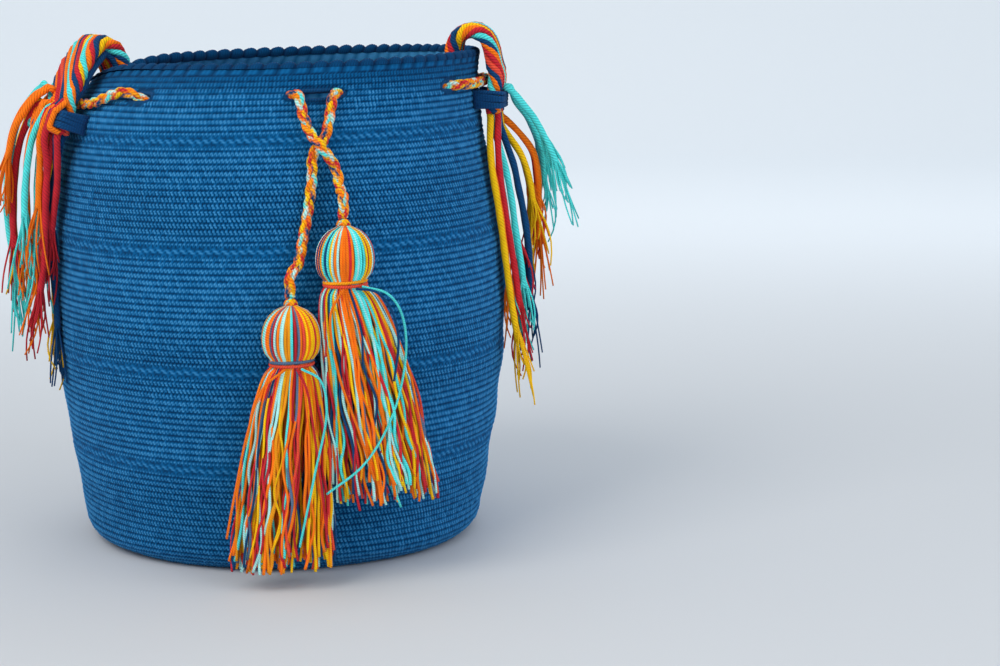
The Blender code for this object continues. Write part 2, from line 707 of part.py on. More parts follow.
def drawstring_route():
    """From the right tassel up to the front slit, round the bag and down to the left tassel."""
    route = []
    for angle, rise, standoff in RIGHT_TASSEL_ROUTE[::-1]:
        route.append(on_wall(angle, EYELET_HEIGHT + rise, standoff))
    before, here, there = RIGHT_TASSEL_ROUTE[0][0], INSIDE, OUTSIDE
    straps = {(angle if angle < 0.0 else angle - 360.0): CORD_DROOP[side]
              for side, angle in STRAP_ANGLES.items()}
    last = LEFT_TASSEL_ROUTE[0][0] - 360.0
    for stop in [angle - 360.0 for angle in EYELET_ANGLES[::-1]] + [last]:
        entry = last if stop == last else stop + PASS_ANGLE
        droop = sum(low for angle, low in straps.items() if stop < angle < before)
        count = max(1, round(math.radians(before - entry) * SHOULDER_RADIUS / (2 * CORD_STEP)))
        for k in range(1, count):
            sag = droop * math.sin(math.pi * k / count) ** 0.25
            turn = before + (entry - before) * k / count
            route.append(on_wall(turn, EYELET_HEIGHT + sag, here))
        if stop != last:
            route.append(on_wall(entry, EYELET_HEIGHT, here))
            route.append(on_wall(stop, EYELET_HEIGHT, MIDWALL))
            route.append(on_wall(stop - PASS_ANGLE, EYELET_HEIGHT, there))
        before, here, there = stop - PASS_ANGLE, there, here
    for angle, rise, standoff in LEFT_TASSEL_ROUTE:
        route.append(on_wall(angle, EYELET_HEIGHT + rise, standoff))
    top = Vector((0.0, 0.0, TOP_KNOT_RADIUS + SEAT))
    lead = Vector((0.0, 0.0, 2 * CORD))
    starts = [tassel_pivot("right") + top, tassel_pivot("right") + top + lead]
    ends = [tassel_pivot("left") + top + lead, tassel_pivot("left") + top]
    return starts + route + ends


# Fringe


def fringe_start(side, kind, across, other):
    """Where a fringe cord leaves the strap and its direction there."""
    frames = end_frames(side)
    away = 1.0 if frames[0][2].dot(outward(STRAP_ANGLES[side])) > 0 else -1.0
    if kind == "tip":
        place, width, out = frames[0]
        direction = width.cross(out)
        if direction.z > 0.0:
            direction = -direction
        return place + width * across + out * away * other + direction * SEAT, direction
    ring = 2 * STRAP_SPAN_RINGS
    length = (frames[ring + 1][0] - frames[ring][0]).length
    while other > length:
        other -= length
        ring += 1
        length = (frames[ring + 1][0] - frames[ring][0]).length
    place, width, out = frame_between(frames, ring + other / length)
    direction = out.normalized() * away
    return place + width * across + direction * (0.5 * STRAP_THICKNESS + SEAT), direction


def make_fringe(side, parts, materials):
    """The strap's own cords, running on loose from its lashed end."""
    for name, (kind, across, other, places) in FRINGE[side].items():
        start, direction = fringe_start(side, kind, across, other)
        route = [start, start + direction * FRINGE_STUB]
        route += [on_wall(angle, BAG_HEIGHT - drop, standoff) for angle, drop, standoff in places]
        material = materials[name.split("_")[0]]
        node = "fringe_%s_%s" % (side, name)
        make_tube(node, route, FRINGE_STEP, FRINGE_CORD, parts, material)


# Tassels


def tassel_reach(side):
    """Distance from the Z axis at which a tassel's back just clears the wall behind it."""
    tassel = TASSELS[side]
    spread = math.degrees((tassel["foot"] + abs(tassel["lean"])) / BELLY_RADIUS)
    far = 0.0
    for turn in np.linspace(tassel["angle"] - spread, tassel["angle"] + spread, 9):
        for level in np.linspace(FOOT_HEIGHT, tassel["pivot"], 15):
            place = on_wall(turn, level)
            far = max(far, math.hypot(place.x, place.y))
    return far + ROPE_RIDGE + TASSEL_BACK_GAP


TASSEL_REACH = {side: tassel_reach(side) for side in TASSELS}


def tassel_place(side, across, level, out):
    """A place wrapped round the bag: across, above the pivot and out from the tassel's back."""
    turn = TASSELS[side]["angle"] + math.degrees(across / TASSEL_REACH[side])
    flat = outward(turn) * (TASSEL_REACH[side] + out)
    return Vector((flat.x, flat.y, TASSELS[side]["pivot"] + level))


def tassel_pivot(side):
    return tassel_place(side, 0.0, 0.0, TASSEL_STANDOFF)


def tassel_sections(side):
    """(level, half width, half depth, lean, flute) of the yarn bundle from its top down."""
    tassel = TASSELS[side]
    top = -TOP_KNOT_RADIUS - SEAT
    sections = []
    for part, size in HEAD_SHAPE:
        radius = size * HEAD_RADIUS
        flute = FLUTE if part > 0.0 else 0.0
        sections.append((top - HEAD_LENGTH * part, radius, radius * HEAD_DEPTH, 0.0, flute))
    neck = top - HEAD_LENGTH
    below = neck - BINDING_HEIGHT - 2 * SEAT
    slim = NECK_RADIUS * HEAD_DEPTH
    for level in (neck, below):
        sections.append((level, NECK_RADIUS, slim, 0.0, 0.0))
    for part in (0.08, 0.22, 0.40, 0.60, 0.80, 1.0):
        width = NECK_RADIUS + (tassel["foot"] - NECK_RADIUS) * part**0.75
        depth = slim + (FOOT_DEPTH - slim) * part + 0.0024 * math.sin(math.pi * part)
        lean = tassel["lean"] * part**0.8
        sections.append((below - tassel["skirt"] * part, width, depth, lean, FLUTE))
    return sections


def make_tassel(side, parts, materials):
    """The yarn bundle, its neck binding and the cord's knot on its top."""
    mesh_data = bmesh.new()
    rings = []
    middle = HEAD_RADIUS * HEAD_DEPTH + FLUTE
    sections = tassel_sections(side)
    for level, width, depth, lean, flute in sections:
        rag = RAGGED if level == sections[-1][0] else 0.0
        ring = []
        for i in range(TASSEL_COLUMNS):
            turn = math.tau * i / TASSEL_COLUMNS
            bulge = flute if i % 2 else -flute
            across = (width + bulge) * math.sin(turn) + lean
            out = middle - (depth + bulge) * math.cos(turn)
            place = tassel_place(side, across, level + rag * math.sin(2.3 * i + 1.0), out)
            ring.append(mesh_data.verts.new(place))
        rings.append(ring)
    bridge(mesh_data, rings)
    pivot = tassel_pivot(side)
    finish_mesh(mesh_data, "tassel_%s_yarns" % side, parts, materials["yarns"], pivot)
    make_binding(side, parts, materials["binding"], middle)
    knot = bmesh.new()
    bmesh.ops.create_uvsphere(knot, u_segments=12, v_segments=8, radius=TOP_KNOT_RADIUS)
    bmesh.ops.translate(knot, vec=pivot, verts=knot.verts)
    finish_mesh(knot, "tassel_%s_top_knot" % side, parts, materials["knot"], pivot)


def make_binding(side, parts, material, middle):
    """Turns of yarn round the tassel's neck."""
    neck = -TOP_KNOT_RADIUS - HEAD_LENGTH - 2 * SEAT
    thick = BINDING_THICKNESS
    profile = [(SEAT, 0.0), (SEAT + 0.6 * thick, 0.0)]
    for turn in range(BINDING_TURNS):
        profile.append((SEAT + thick, -BINDING_HEIGHT * (turn + 0.5) / BINDING_TURNS))
        profile.append((SEAT + 0.6 * thick, -BINDING_HEIGHT * (turn + 1.0) / BINDING_TURNS))
    profile.append((SEAT, -BINDING_HEIGHT))
    mesh_data = bmesh.new()
    rings = []
    for extra, drop in profile:
        ring = []
        for i in range(TASSEL_COLUMNS):
            turn = math.tau * i / TASSEL_COLUMNS
            across = (NECK_RADIUS + extra) * math.sin(turn)
            out = middle - (NECK_RADIUS * HEAD_DEPTH + extra) * math.cos(turn)
            ring.append(mesh_data.verts.new(tassel_place(side, across, neck + drop, out)))
        rings.append(ring)
    bridge(mesh_data, rings, is_closed=True)
    finish_mesh(mesh_data, "tassel_%s_binding" % side, parts, material, tassel_pivot(side))


def main():
    for obj in list(bpy.data.objects):
        bpy.data.objects.remove(obj, do_unlink=True)
    parts = make_collection("mochila_bag")
    helpers = make_collection("cutters", shown=False)
    make_body(parts, helpers)
    braid = yarn_material("mixed_cotton_braid", MIXED)
    make_tube("drawstring", drawstring_route(), CORD_STEP, CORD, parts, braid)
    make_strap(parts)
    lashing = yarn_material("navy_cotton_yarn", NAVY)
    fringes = {
        "turquoise": yarn_material("turquoise_cotton_cord", TURQUOISE),
        "orange": yarn_material("orange_cotton_cord", ORANGE),
        "red": yarn_material("red_cotton_cord", RED),
        "yellow": yarn_material("yellow_cotton_cord", YELLOW),
        "navy": yarn_material("navy_cotton_cord", NAVY),
    }
    for side in TASSELS:
        make_lashing(side, parts, lashing)
        make_fringe(side, parts, fringes)
        finishes = {"yarns": braid, "binding": lashing, "knot": braid}
        make_tassel(side, parts, finishes)


main()
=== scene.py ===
"""The crocheted mochila bag's looks: worked wall, braided cords, tassels and fringed strap.

Lengths are in metres and angles in degrees round the bag from its front, positive towards +X.
"""

import logging
import math
from dataclasses import dataclass, field
from enum import Enum

import bpy
import mathutils
import numpy as np
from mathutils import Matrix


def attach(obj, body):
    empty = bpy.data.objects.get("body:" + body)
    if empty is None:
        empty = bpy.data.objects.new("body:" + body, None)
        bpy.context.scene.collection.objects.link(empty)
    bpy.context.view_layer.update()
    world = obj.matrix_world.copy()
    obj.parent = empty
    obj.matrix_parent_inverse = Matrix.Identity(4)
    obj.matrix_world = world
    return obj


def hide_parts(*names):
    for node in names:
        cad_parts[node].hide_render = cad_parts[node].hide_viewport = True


logging.basicConfig(level=logging.INFO, format="%(message)s")
LOG = logging.getLogger("mochila")

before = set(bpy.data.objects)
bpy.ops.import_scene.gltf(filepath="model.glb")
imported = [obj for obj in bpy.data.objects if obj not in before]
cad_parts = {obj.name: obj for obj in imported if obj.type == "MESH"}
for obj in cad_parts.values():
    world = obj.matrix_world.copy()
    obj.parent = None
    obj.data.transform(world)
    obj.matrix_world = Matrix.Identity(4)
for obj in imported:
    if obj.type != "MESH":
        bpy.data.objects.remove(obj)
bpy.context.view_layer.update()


class Yarn(Enum):
    """Colours of the cotton yarns, as sRGB hex."""

    ORANGE = "FF7D18"
    AMBER = "FFA51C"
    YELLOW = "FFC812"
    RED = "CB2A36"
    CORAL = "E9503A"
    TURQUOISE = "55E6E4"
    PALE = "B2F2EF"
    NAVY = "0E4474"
    SLATE = "56708F"
    BLUE = "0F5288"


@dataclass(frozen=True)
class BagSize:
    """The crocheted body's shape.

    The first group is the upright turned wall, the second its lean, the third its worked yarn.
    """

    height: float = 0.2855
    base: float = 0.1000
    foot: float = 0.1185
    foot_height: float = 0.0145
    belly: float = 0.1332
    belly_height: float = 0.138
    shoulder: float = 0.1226
    shoulder_drop: float = 0.039
    mouth: float = 0.106
    shoulder_shift: float = -0.0036
    mouth_shift: float = 0.0118
    mouth_tilt: float = 0.10
    mouth_pull: float = 0.0155
    mouth_dip: float = 0.012
    pull_start: float = 0.6
    wall: float = 0.0036
    scallop: float = 0.0042
    stitches: int = 342
    shells: int = 76
    rows: int = 84
    relief: float = 0.0013
    rope_heights: tuple[float, ...] = (0.0605, 0.118, 0.183, 0.245)


@dataclass(frozen=True)
class EyeletSize:
    """The slits that the drawstring runs through."""

    drop: float = 0.0185
    width: float = 0.0195
    gap: float = 0.0078
    front_width: float = 0.040
    front_angle: float = 14.0
    angles: tuple[float, ...] = (60.0, 103.0, 138.0, 172.0, 205.0, 237.0, 268.0, 322.0)
    # Half of what shows of the opening, as shares of its width and of the gap
    half_wide: float = 0.42
    half_high: float = 0.24


def linear_colour(hex_code: str) -> tuple[float, float, float, float]:
    """Turns an sRGB hex code into a linear colour.

    Args:
        hex_code: Six hex digits.

    Returns:
        Linear red, green, blue and an alpha of one.
    """
    values = [int(hex_code[i:i + 2], 16) / 255.0 for i in (0, 2, 4)]
    linear = [v / 12.92 if v <= 0.04045 else ((v + 0.055) / 1.055) ** 2.4 for v in values]
    return (*linear, 1.0)


def eased(xs: tuple[float, ...], ys: tuple[float, ...], x: float) -> float:
    """Reads a smooth curve through (xs, ys) that never overshoots.

    Args:
        xs: Rising places.
        ys: Values at them.
        x: Where to read.

    Returns:
        The curve's value.
    """
    xs, ys = np.asarray(xs, float), np.asarray(ys, float)
    width = np.diff(xs)
    rise = np.diff(ys) / width
    slope = np.concatenate([[rise[0]], np.zeros(len(xs) - 2), [rise[-1]]])
    for i in range(1, len(xs) - 1):
        if rise[i - 1] * rise[i] > 0:
            near, far = 2 * width[i] + width[i - 1], width[i] + 2 * width[i - 1]
            slope[i] = (near + far) / (near / rise[i - 1] + far / rise[i])
    x = min(max(x, xs[0]), xs[-1])
    i = min(max(int(np.searchsorted(xs, x)) - 1, 0), len(width) - 1)
    t = (x - xs[i]) / width[i]
    start = (2 * t**3 - 3 * t**2 + 1) * ys[i] + (t**3 - 2 * t**2 + t) * width[i] * slope[i]
    end = (3 * t**2 - 2 * t**3) * ys[i + 1] + (t**3 - t**2) * width[i] * slope[i + 1]
    return float(start + end)


def unit(vectors: np.ndarray) -> np.ndarray:
    """Scales vectors, along an array's last axis, to length one."""
    return vectors / np.maximum(np.linalg.norm(vectors, axis=-1, keepdims=True), 1e-12)


def smooth_curve(points: list, per_span: int = 12) -> np.ndarray:
    """Runs a centripetal Catmull-Rom curve through points.

    Args:
        points: The places it goes through.
        per_span: How many steps each span is cut into.

    Returns:
        The curve's points.
    """
    points = [np.asarray(p, float) for p in points]
    points = [2 * points[0] - points[1], *points, 2 * points[-1] - points[-2]]
    curve = []
    for a, b, c, d in zip(points, points[1:], points[2:], points[3:]):
        t1 = np.linalg.norm(b - a) ** 0.5
        t2 = t1 + np.linalg.norm(c - b) ** 0.5
        t3 = t2 + np.linalg.norm(d - c) ** 0.5
        t = (t1 + (t2 - t1) * np.arange(per_span) / per_span)[:, None]
        first = a + (b - a) * t / t1
        second = b + (c - b) * (t - t1) / (t2 - t1)
        third = c + (d - c) * (t - t2) / (t3 - t2)
        low = first + (second - first) * t / t2
        high = second + (third - second) * (t - t1) / (t3 - t1)
        curve.append(low + (high - low) * (t - t1) / (t2 - t1))
    curve.append(points[-2][None])
    return np.vstack(curve)


def along_line(line: np.ndarray) -> np.ndarray:
    """Measures the length from a line's start to each of its points."""
    return np.concatenate([[0.0], np.cumsum(np.linalg.norm(np.diff(line, axis=0), axis=1))])


def read_line(at: np.ndarray, along: np.ndarray, line: np.ndarray) -> np.ndarray:
    """Reads a line's points, or directions along it, at places between them."""
    return np.stack([np.interp(at, along, line[:, k]) for k in range(3)], axis=-1)


def even_points(line: np.ndarray, step: float) -> np.ndarray:
    """Spreads points evenly on a line.

    Args:
        line: Its points.
        step: About how far apart the new ones are.

    Returns:
        The new points.
    """
    along = along_line(line)
    places = np.linspace(0.0, along[-1], max(2, round(along[-1] / step) + 1))
    return read_line(places, along, line)


def outward(angle: float) -> np.ndarray:
    """Gives the level direction out from the bag's axis at an angle round it."""
    turn = math.radians(angle)
    return np.array([math.sin(turn), -math.cos(turn), 0.0])


def sideways(angle: float) -> np.ndarray:
    """Gives the level direction along the wall, towards growing angles."""
    turn = math.radians(angle)
    return np.array([math.cos(turn), math.sin(turn), 0.0])


def round_axis(turn: np.ndarray, radius: np.ndarray, level: np.ndarray) -> np.ndarray:
    """Gives the points at angles in radians, distances from the axis and heights."""
    return np.stack([radius * np.sin(turn), -radius * np.cos(turn), level], axis=-1)


def smooth_step(part: np.ndarray) -> np.ndarray:
    """Eases parts from 0 to 1 at both ends."""
    return part * part * (3.0 - 2.0 * part)


def away_from_axis(line: np.ndarray) -> tuple[np.ndarray, np.ndarray]:
    """Finds how a line runs and which way faces out from the bag's axis.

    Args:
        line: Its points.

    Returns:
        Its tangents, and unit vectors square to them that face out.
    """
    tangents = unit(np.gradient(line, axis=0))
    radial = unit(line * np.array([1.0, 1.0, 0.0]))
    return tangents, unit(radial - tangents * np.sum(radial * tangents, axis=1, keepdims=True))


class WallShape:
    """The wall's outer surface, leaning and pulled as the standing bag's is."""

    def __init__(self, size: BagSize) -> None:
        self.size = size
        self.shoulder_height = size.height - size.shoulder_drop
        self.rim_height = size.height - size.scallop
        self._levels = np.linspace(0.0, size.height, 1201)
        self._radii = np.array([self._radius(level) for level in self._levels])
        heights = (0.0, size.belly_height, self.shoulder_height, size.height)
        shifts = (0.0, 0.0, size.shoulder_shift, size.mouth_shift)
        self._shifts = np.array([eased(heights, shifts, level) for level in self._levels])

    def _radius(self, height: float) -> float:
        size = self.size
        if height < size.foot_height:
            drop = 1.0 - max(height, 0.0) / size.foot_height
            return size.base + (size.foot - size.base) * math.sqrt(1.0 - drop**2)
        heights = (size.foot_height, size.belly_height, self.shoulder_height, size.height)
        radii = (size.foot, size.belly, size.shoulder, size.mouth)
        swell = 0.0
        if height < size.belly_height:
            part = (height - size.foot_height) / (size.belly_height - size.foot_height)
            swell = 0.26 * part * (1.0 - part) ** 2 * (size.belly - size.foot)
        return eased(heights, radii, height) + swell

    def radius(self, height: np.ndarray) -> np.ndarray:
        """Reads the upright wall's radius at heights above the base."""
        return np.interp(height, self._levels, self._radii)

    def shift(self, height: np.ndarray) -> np.ndarray:
        """Reads how far the wall is shifted along X at heights above the base."""
        return np.interp(height, self._levels, self._shifts)

    def leaned(self, turn: np.ndarray, level: np.ndarray, radius: np.ndarray) -> np.ndarray:
        """Moves points of the upright shape to where the leaning bag has them.

        Args:
            turn: Angles in radians.
            level: Heights.
            radius: Distances from the axis.

        Returns:
            The points.
        """
        size = self.size
        x, y = radius * np.sin(turn), -radius * np.cos(turn)
        part = (level - self.shoulder_height) / (size.height - self.shoulder_height)
        rise = np.clip(part, 0.0, None) ** 2
        near = np.clip((-np.sin(turn) - size.pull_start) / (1.0 - size.pull_start), 0.0, None)
        x = x + self.shift(level) - size.mouth_pull * rise * near**3
        tilt = 1.0 + size.mouth_tilt * x * np.minimum(1.0, level / size.belly_height)
        return np.stack([x, y, level * tilt - size.mouth_dip * rise * near**5], axis=-1)

    def at(self, angle: float, height: float, standoff: float = 0.0) -> np.ndarray:
        """Finds points that stand off from the wall along its normal.

        Args:
            angle: Angles round the bag in degrees.
            height: Heights.
            standoff: Distances from the surface.

        Returns:
            The points.
        """
        turn, level = np.radians(angle), np.asarray(height, float)
        small = 1e-4
        here = self.leaned(turn, level, self.radius(level))
        around = self.leaned(turn + small, level, self.radius(level))
        around = around - self.leaned(turn - small, level, self.radius(level))
        upward = self.leaned(turn, level + small, self.radius(level + small))
        upward = upward - self.leaned(turn, level - small, self.radius(level - small))
        return here + np.asarray(standoff)[..., None] * unit(np.cross(around, upward))

    def under(self, place: np.ndarray, standoff: float) -> np.ndarray:
        """Finds the wall's point level with a place and on the same side.

        Args:
            place: A point near the wall.
            standoff: How far off the wall the answer stands.

        Returns:
            The point.
        """
        height, turn = float(place[2]), math.atan2(place[0], -place[1])
        angle = turn
        for _ in range(6):
            near = self.at(math.degrees(angle), height)
            height += place[2] - near[2]
            angle += turn - math.atan2(near[0], -near[1])
        return self.at(math.degrees(angle), height, standoff)

    def dropped(self, place: np.ndarray, direction: np.ndarray, standoff: float) -> np.ndarray:
        """Moves a place along a direction until it has a standoff from the wall.

        Args:
            place: Where to start.
            direction: Unit vector to move along.
            standoff: Distance wanted from the wall.

        Returns:
            The moved place.
        """
        for _ in range(8):
            place = place + direction * np.dot(self.under(place, standoff) - place, direction)
        return place


# Meshes and materials


def ring_quads(rings: int, columns: int) -> tuple[np.ndarray, np.ndarray, np.ndarray]:
    """Joins closed rings of points with quads.

    Args:
        rings: Number of rings.
        columns: Points in each.

    Returns:
        The ring and the column of each quad, and its four points.
    """
    i, j = np.meshgrid(np.arange(rings - 1), np.arange(columns), indexing="ij")
    k = (j + 1) % columns
    return i, j, np.stack([i * columns + j, i * columns + k, (i + 1) * columns + k, (i + 1) * columns + j], -1)


def add_object(mesh: bpy.types.Mesh, material: bpy.types.Material) -> bpy.types.Object:
    """Smooths a mesh and puts it in the scene as an object of its own name.

    Args:
        mesh: The mesh.
        material: What it is made of.

    Returns:
        The new object.
    """
    mesh.shade_smooth()
    mesh.materials.append(material)
    obj = bpy.data.objects.new(mesh.name, mesh)
    bpy.context.scene.collection.objects.link(obj)
    LOG.info("%s: %d faces", mesh.name, len(mesh.polygons))
    return obj


def matte_material(
    name: str, roughness: float, specular: float, sheen: float = 0.0,
) -> tuple[bpy.types.Material, bpy.types.NodeTree, bpy.types.Node]:
    """Starts a matte material.

    Args:
        name: Its name.
        roughness: Its roughness.
        specular: Its specular level.
        sheen: Weight of its sheen.

    Returns:
        The material, its node tree and its shader.
    """
    material = bpy.data.materials.new(name)
    material.use_nodes = True
    shader = material.node_tree.nodes["Principled BSDF"]
    shader.inputs["Roughness"].default_value = roughness
    shader.inputs["Sheen Weight"].default_value = sheen
    shader.inputs["Specular IOR Level"].default_value = specular
    return material, material.node_tree, shader


def uneven_dye(tree: bpy.types.NodeTree, scale: float, low: float, high: float) -> bpy.types.Node:
    """Makes brightness wander over the piece, as dye and wear do.

    Args:
        tree: The material's node tree.
        scale: Scale of the noise, per metre.
        low: Darkest brightness.
        high: Lightest brightness.

    Returns:
        The node that gives the brightness.
    """
    place = add_node(tree, "ShaderNodeTexCoord")
    dye = add_node(tree, "ShaderNodeTexNoise", {"Vector": place.outputs["Object"], "Scale": scale})
    return add_node(
        tree, "ShaderNodeMapRange",
        {"Value": dye.outputs[0], "From Min": 0.3, "From Max": 0.7, "To Min": low, "To Max": high},
    )


def add_node(tree: bpy.types.NodeTree, kind: str, links: dict | None = None, **settings):
    """Adds a node, sets it and links its inputs.

    Args:
        tree: The material's node tree.
        kind: The node's type name.
        links: Input name or number to an output socket or a constant.
        **settings: Attributes of the node.

    Returns:
        The new node.
    """
    node = tree.nodes.new(kind)
    for name, value in settings.items():
        setattr(node, name, value)
    for name, value in (links or {}).items():
        if isinstance(value, bpy.types.NodeSocket):
            tree.links.new(value, node.inputs[name])
        else:
            node.inputs[name].default_value = value
    return node


@dataclass(frozen=True)
class YarnFinish:
    """A cotton yarn's look.

    The colour comes from the piece's "tint" attribute. Grooves run slantwise between its plies, darkened with
    painted shade, and the crests between them are lightened with a painted highlight.
    """

    name: str
    roughness: float = 0.9
    sheen: float = 0.04
    specular: float = 0.12
    crest_painted_highlight: float = 1.12
    groove_painted_shade: float = 0.7
    groove_depth: float = 0.0005

    def build(self) -> bpy.types.Material:
        """Makes the material.

        Returns:
            The new material.
        """
        # Dyed, plied cotton: matte, with a faint sheen from its loose fibres
        material, tree, shader = matte_material(self.name, self.roughness, self.specular, self.sheen)
        tint = add_node(tree, "ShaderNodeAttribute", attribute_name="tint")
        coords = add_node(tree, "ShaderNodeUVMap", uv_map="ply_turns")
        # Uneven dye: lighter and darker stretches a few millimetres long
        level = uneven_dye(tree, 210.0, 0.94, 1.12)
        # Plies: the first coordinate counts them, so each whole number is a groove
        parts = add_node(tree, "ShaderNodeSeparateXYZ", {0: coords.outputs[0]})
        ply = add_node(tree, "ShaderNodeMath", {0: parts.outputs[0]}, operation="FRACT")
        centred = add_node(tree, "ShaderNodeMath", {0: ply.outputs[0], 1: 2.0, 2: -1.0}, operation="MULTIPLY_ADD")
        edge = add_node(tree, "ShaderNodeMath", {0: centred.outputs[0]}, operation="ABSOLUTE")
        groove = add_node(tree, "ShaderNodeMath", {0: edge.outputs[0], 1: 2.6}, operation="POWER")
        # Painted shade darkens the grooves between the plies, and a painted highlight lightens their crests
        dark = add_node(
            tree, "ShaderNodeMapRange", {"Value": groove.outputs[0], "To Min": self.crest_painted_highlight,
                                         "To Max": self.groove_painted_shade},
        )
        both = add_node(tree, "ShaderNodeMath", {0: level.outputs[0], 1: dark.outputs[0]}, operation="MULTIPLY")
        shade = add_node(tree, "ShaderNodeVectorMath", {0: tint.outputs["Color"]}, operation="SCALE")
        tree.links.new(both.outputs[0], shade.inputs["Scale"])
        tree.links.new(shade.outputs[0], shader.inputs["Base Color"])
        rise = add_node(tree, "ShaderNodeMath", {0: 1.0, 1: groove.outputs[0]}, operation="SUBTRACT")
        bump = add_node(
            tree, "ShaderNodeBump", {"Height": rise.outputs[0], "Strength": 0.8, "Distance": self.groove_depth},
        )
        tree.links.new(bump.outputs[0], shader.inputs["Normal"])
        return material


@dataclass(frozen=True)
class CrochetFinish:
    """The blue wall's yarn, coloured by its relief: painted shade between the stitches and a painted highlight on
    their crowns.
    """

    name: str = "royal_blue_crocheted_cotton"
    painted_crown_highlight: str = "50ABE8"
    body: str = "08629D"
    painted_valley_shade: str = "001B3E"
    body_level: float = 0.47
    roughness: float = 0.9
    sheen: float = 0.03
    specular: float = 0.08

    def build(self) -> bpy.types.Material:
        """Makes the material.

        Returns:
            The new material.
        """
        # Cotton crocheted tight: matte, with painted shade where one stitch meets the next
        material, tree, shader = matte_material(self.name, self.roughness, self.specular, self.sheen)
        relief = add_node(tree, "ShaderNodeAttribute", attribute_name="relief")
        coords = add_node(tree, "ShaderNodeUVMap", uv_map="stitches")
        # The ramp turns the stitches' relief into colour: painted shade in the valleys, the yarn's blue on the
        # body, a painted highlight on the crowns
        ramp = add_node(tree, "ShaderNodeValToRGB", {"Fac": relief.outputs["Fac"]})
        stops = ramp.color_ramp.elements
        stops[0].color, stops[1].color = linear_colour(self.painted_valley_shade), linear_colour(self.painted_crown_highlight)
        middle = stops.new(self.body_level)
        middle.color = linear_colour(self.body)
        # Uneven dye and wear over a few centimetres
        level = uneven_dye(tree, 30.0, 0.96, 1.04)
        shade = add_node(tree, "ShaderNodeVectorMath", {0: ramp.outputs[0]}, operation="SCALE")
        tree.links.new(level.outputs[0], shade.inputs["Scale"])
        tree.links.new(shade.outputs[0], shader.inputs["Base Color"])
        # The plies of the yarn: about three slanting lines over each stitch
        slant = add_node(
            tree, "ShaderNodeMapping", {"Vector": coords.outputs[0], "Rotation": (0.0, 0.0, 0.55)},
        )
        plies = add_node(
            tree, "ShaderNodeTexWave",
            {"Vector": slant.outputs[0], "Scale": 0.95, "Distortion": 1.2, "Detail": 1.0},
            bands_direction="X",
        )
        bump = add_node(
            tree, "ShaderNodeBump", {"Height": plies.outputs[1], "Strength": 0.5, "Distance": 0.0004},
        )
        tree.links.new(bump.outputs[0], shader.inputs["Normal"])
        return material


# Yarn pieces


@dataclass
class YarnBundle:
    """Collects tubes of yarn into one mesh, each tube with its own colour."""

    name: str
    verts: list = field(default_factory=list)
    quads: list = field(default_factory=list)
    caps: list = field(default_factory=list)
    tints: list = field(default_factory=list)
    coords: list = field(default_factory=list)
    count: int = 0

    def add(
        self, line: np.ndarray, radius: float | np.ndarray, yarn: Yarn | list[Yarn], sides: int = 6,
        plies: int = 2, groove: float = 0.0013, lay: float = 0.012, shade: float = 1.0,
    ) -> None:
        """Adds one tube.

        Args:
            line: Its middle line's points.
            radius: Its radius, one or one for each point.
            yarn: Its colour, or colours that wind round it.
            sides: Corners of its section.
            plies: Number of plies that show.
            groove: Distance along it from one groove to the next.
            lay: Length of one turn of the colours.
            shade: Brightness of this yarn against its colour.
        """
        count = len(line)
        tangents = unit(np.gradient(line, axis=0))
        normals = np.zeros_like(line)
        guide = np.array([0.0, 0.0, 1.0]) if abs(tangents[0][2]) < 0.9 else np.array([1.0, 0.0, 0.0])
        normals[0] = unit(guide - tangents[0] * np.dot(guide, tangents[0]))
        for i in range(1, count):
            side = normals[i - 1] - tangents[i] * np.dot(normals[i - 1], tangents[i])
            normals[i] = side / max(np.linalg.norm(side), 1e-9)
        across = np.cross(tangents, normals)
        around = np.linspace(0.0, math.tau, sides, endpoint=False)[None]
        along = along_line(line)[:, None]
        radii = np.broadcast_to(radius, count)[:, None] * np.ones((1, sides))
        ring = line[:, None] + radii[..., None] * (
            np.cos(around)[..., None] * normals[:, None] + np.sin(around)[..., None] * across[:, None]
        )
        self.verts.append(ring.reshape(-1, 3))
        i, j, quads = ring_quads(count, sides)
        self.quads.append(quads.reshape(-1, 4) + self.count)
        self.caps.append(self.count + np.arange(sides)[::-1])
        self.caps.append(self.count + (count - 1) * sides + np.arange(sides))
        yarns = yarn if isinstance(yarn, list) else [yarn]
        palette = np.array([linear_colour(y.value) for y in yarns])
        winding = around / math.tau + along / lay
        colours = palette[np.floor(winding * len(yarns) + 0.5).astype(int) % len(yarns)]
        colours[..., :3] *= shade
        self.tints.append(colours.reshape(-1, 4))
        flat = along[:, 0]
        corners = [flat[i] / groove + plies * j / sides, flat[i] / groove + plies * (j + 1) / sides,
                   flat[i + 1] / groove + plies * (j + 1) / sides, flat[i + 1] / groove + plies * j / sides]
        lengths = [flat[i], flat[i], flat[i + 1], flat[i + 1]]
        turns = np.stack([np.stack(corners, -1), np.stack(lengths, -1) * 1000.0], -1)
        self.coords.append(turns.reshape(-1, 2))
        self.count += count * sides

    def build(self, material: bpy.types.Material) -> bpy.types.Object:
        """Makes the object.

        Args:
            material: Its yarn.

        Returns:
            The new object.
        """
        verts, quads = np.vstack(self.verts), np.vstack(self.quads)
        faces = quads.tolist() + [cap.tolist() for cap in self.caps]
        mesh = bpy.data.meshes.new(self.name)
        mesh.from_pydata(verts.tolist(), [], faces)
        tint = mesh.attributes.new("tint", "FLOAT_COLOR", "POINT")
        tint.data.foreach_set("color", np.vstack(self.tints).astype(np.float32).ravel())
        layer = mesh.uv_layers.new(name="ply_turns")
        turns = np.full((len(mesh.loops), 2), 0.5)
        body = np.vstack(self.coords)
        turns[:len(body)] = body
        layer.data.foreach_set("uv", turns.astype(np.float32).ravel())
        return add_object(mesh, material)


# Crocheted body


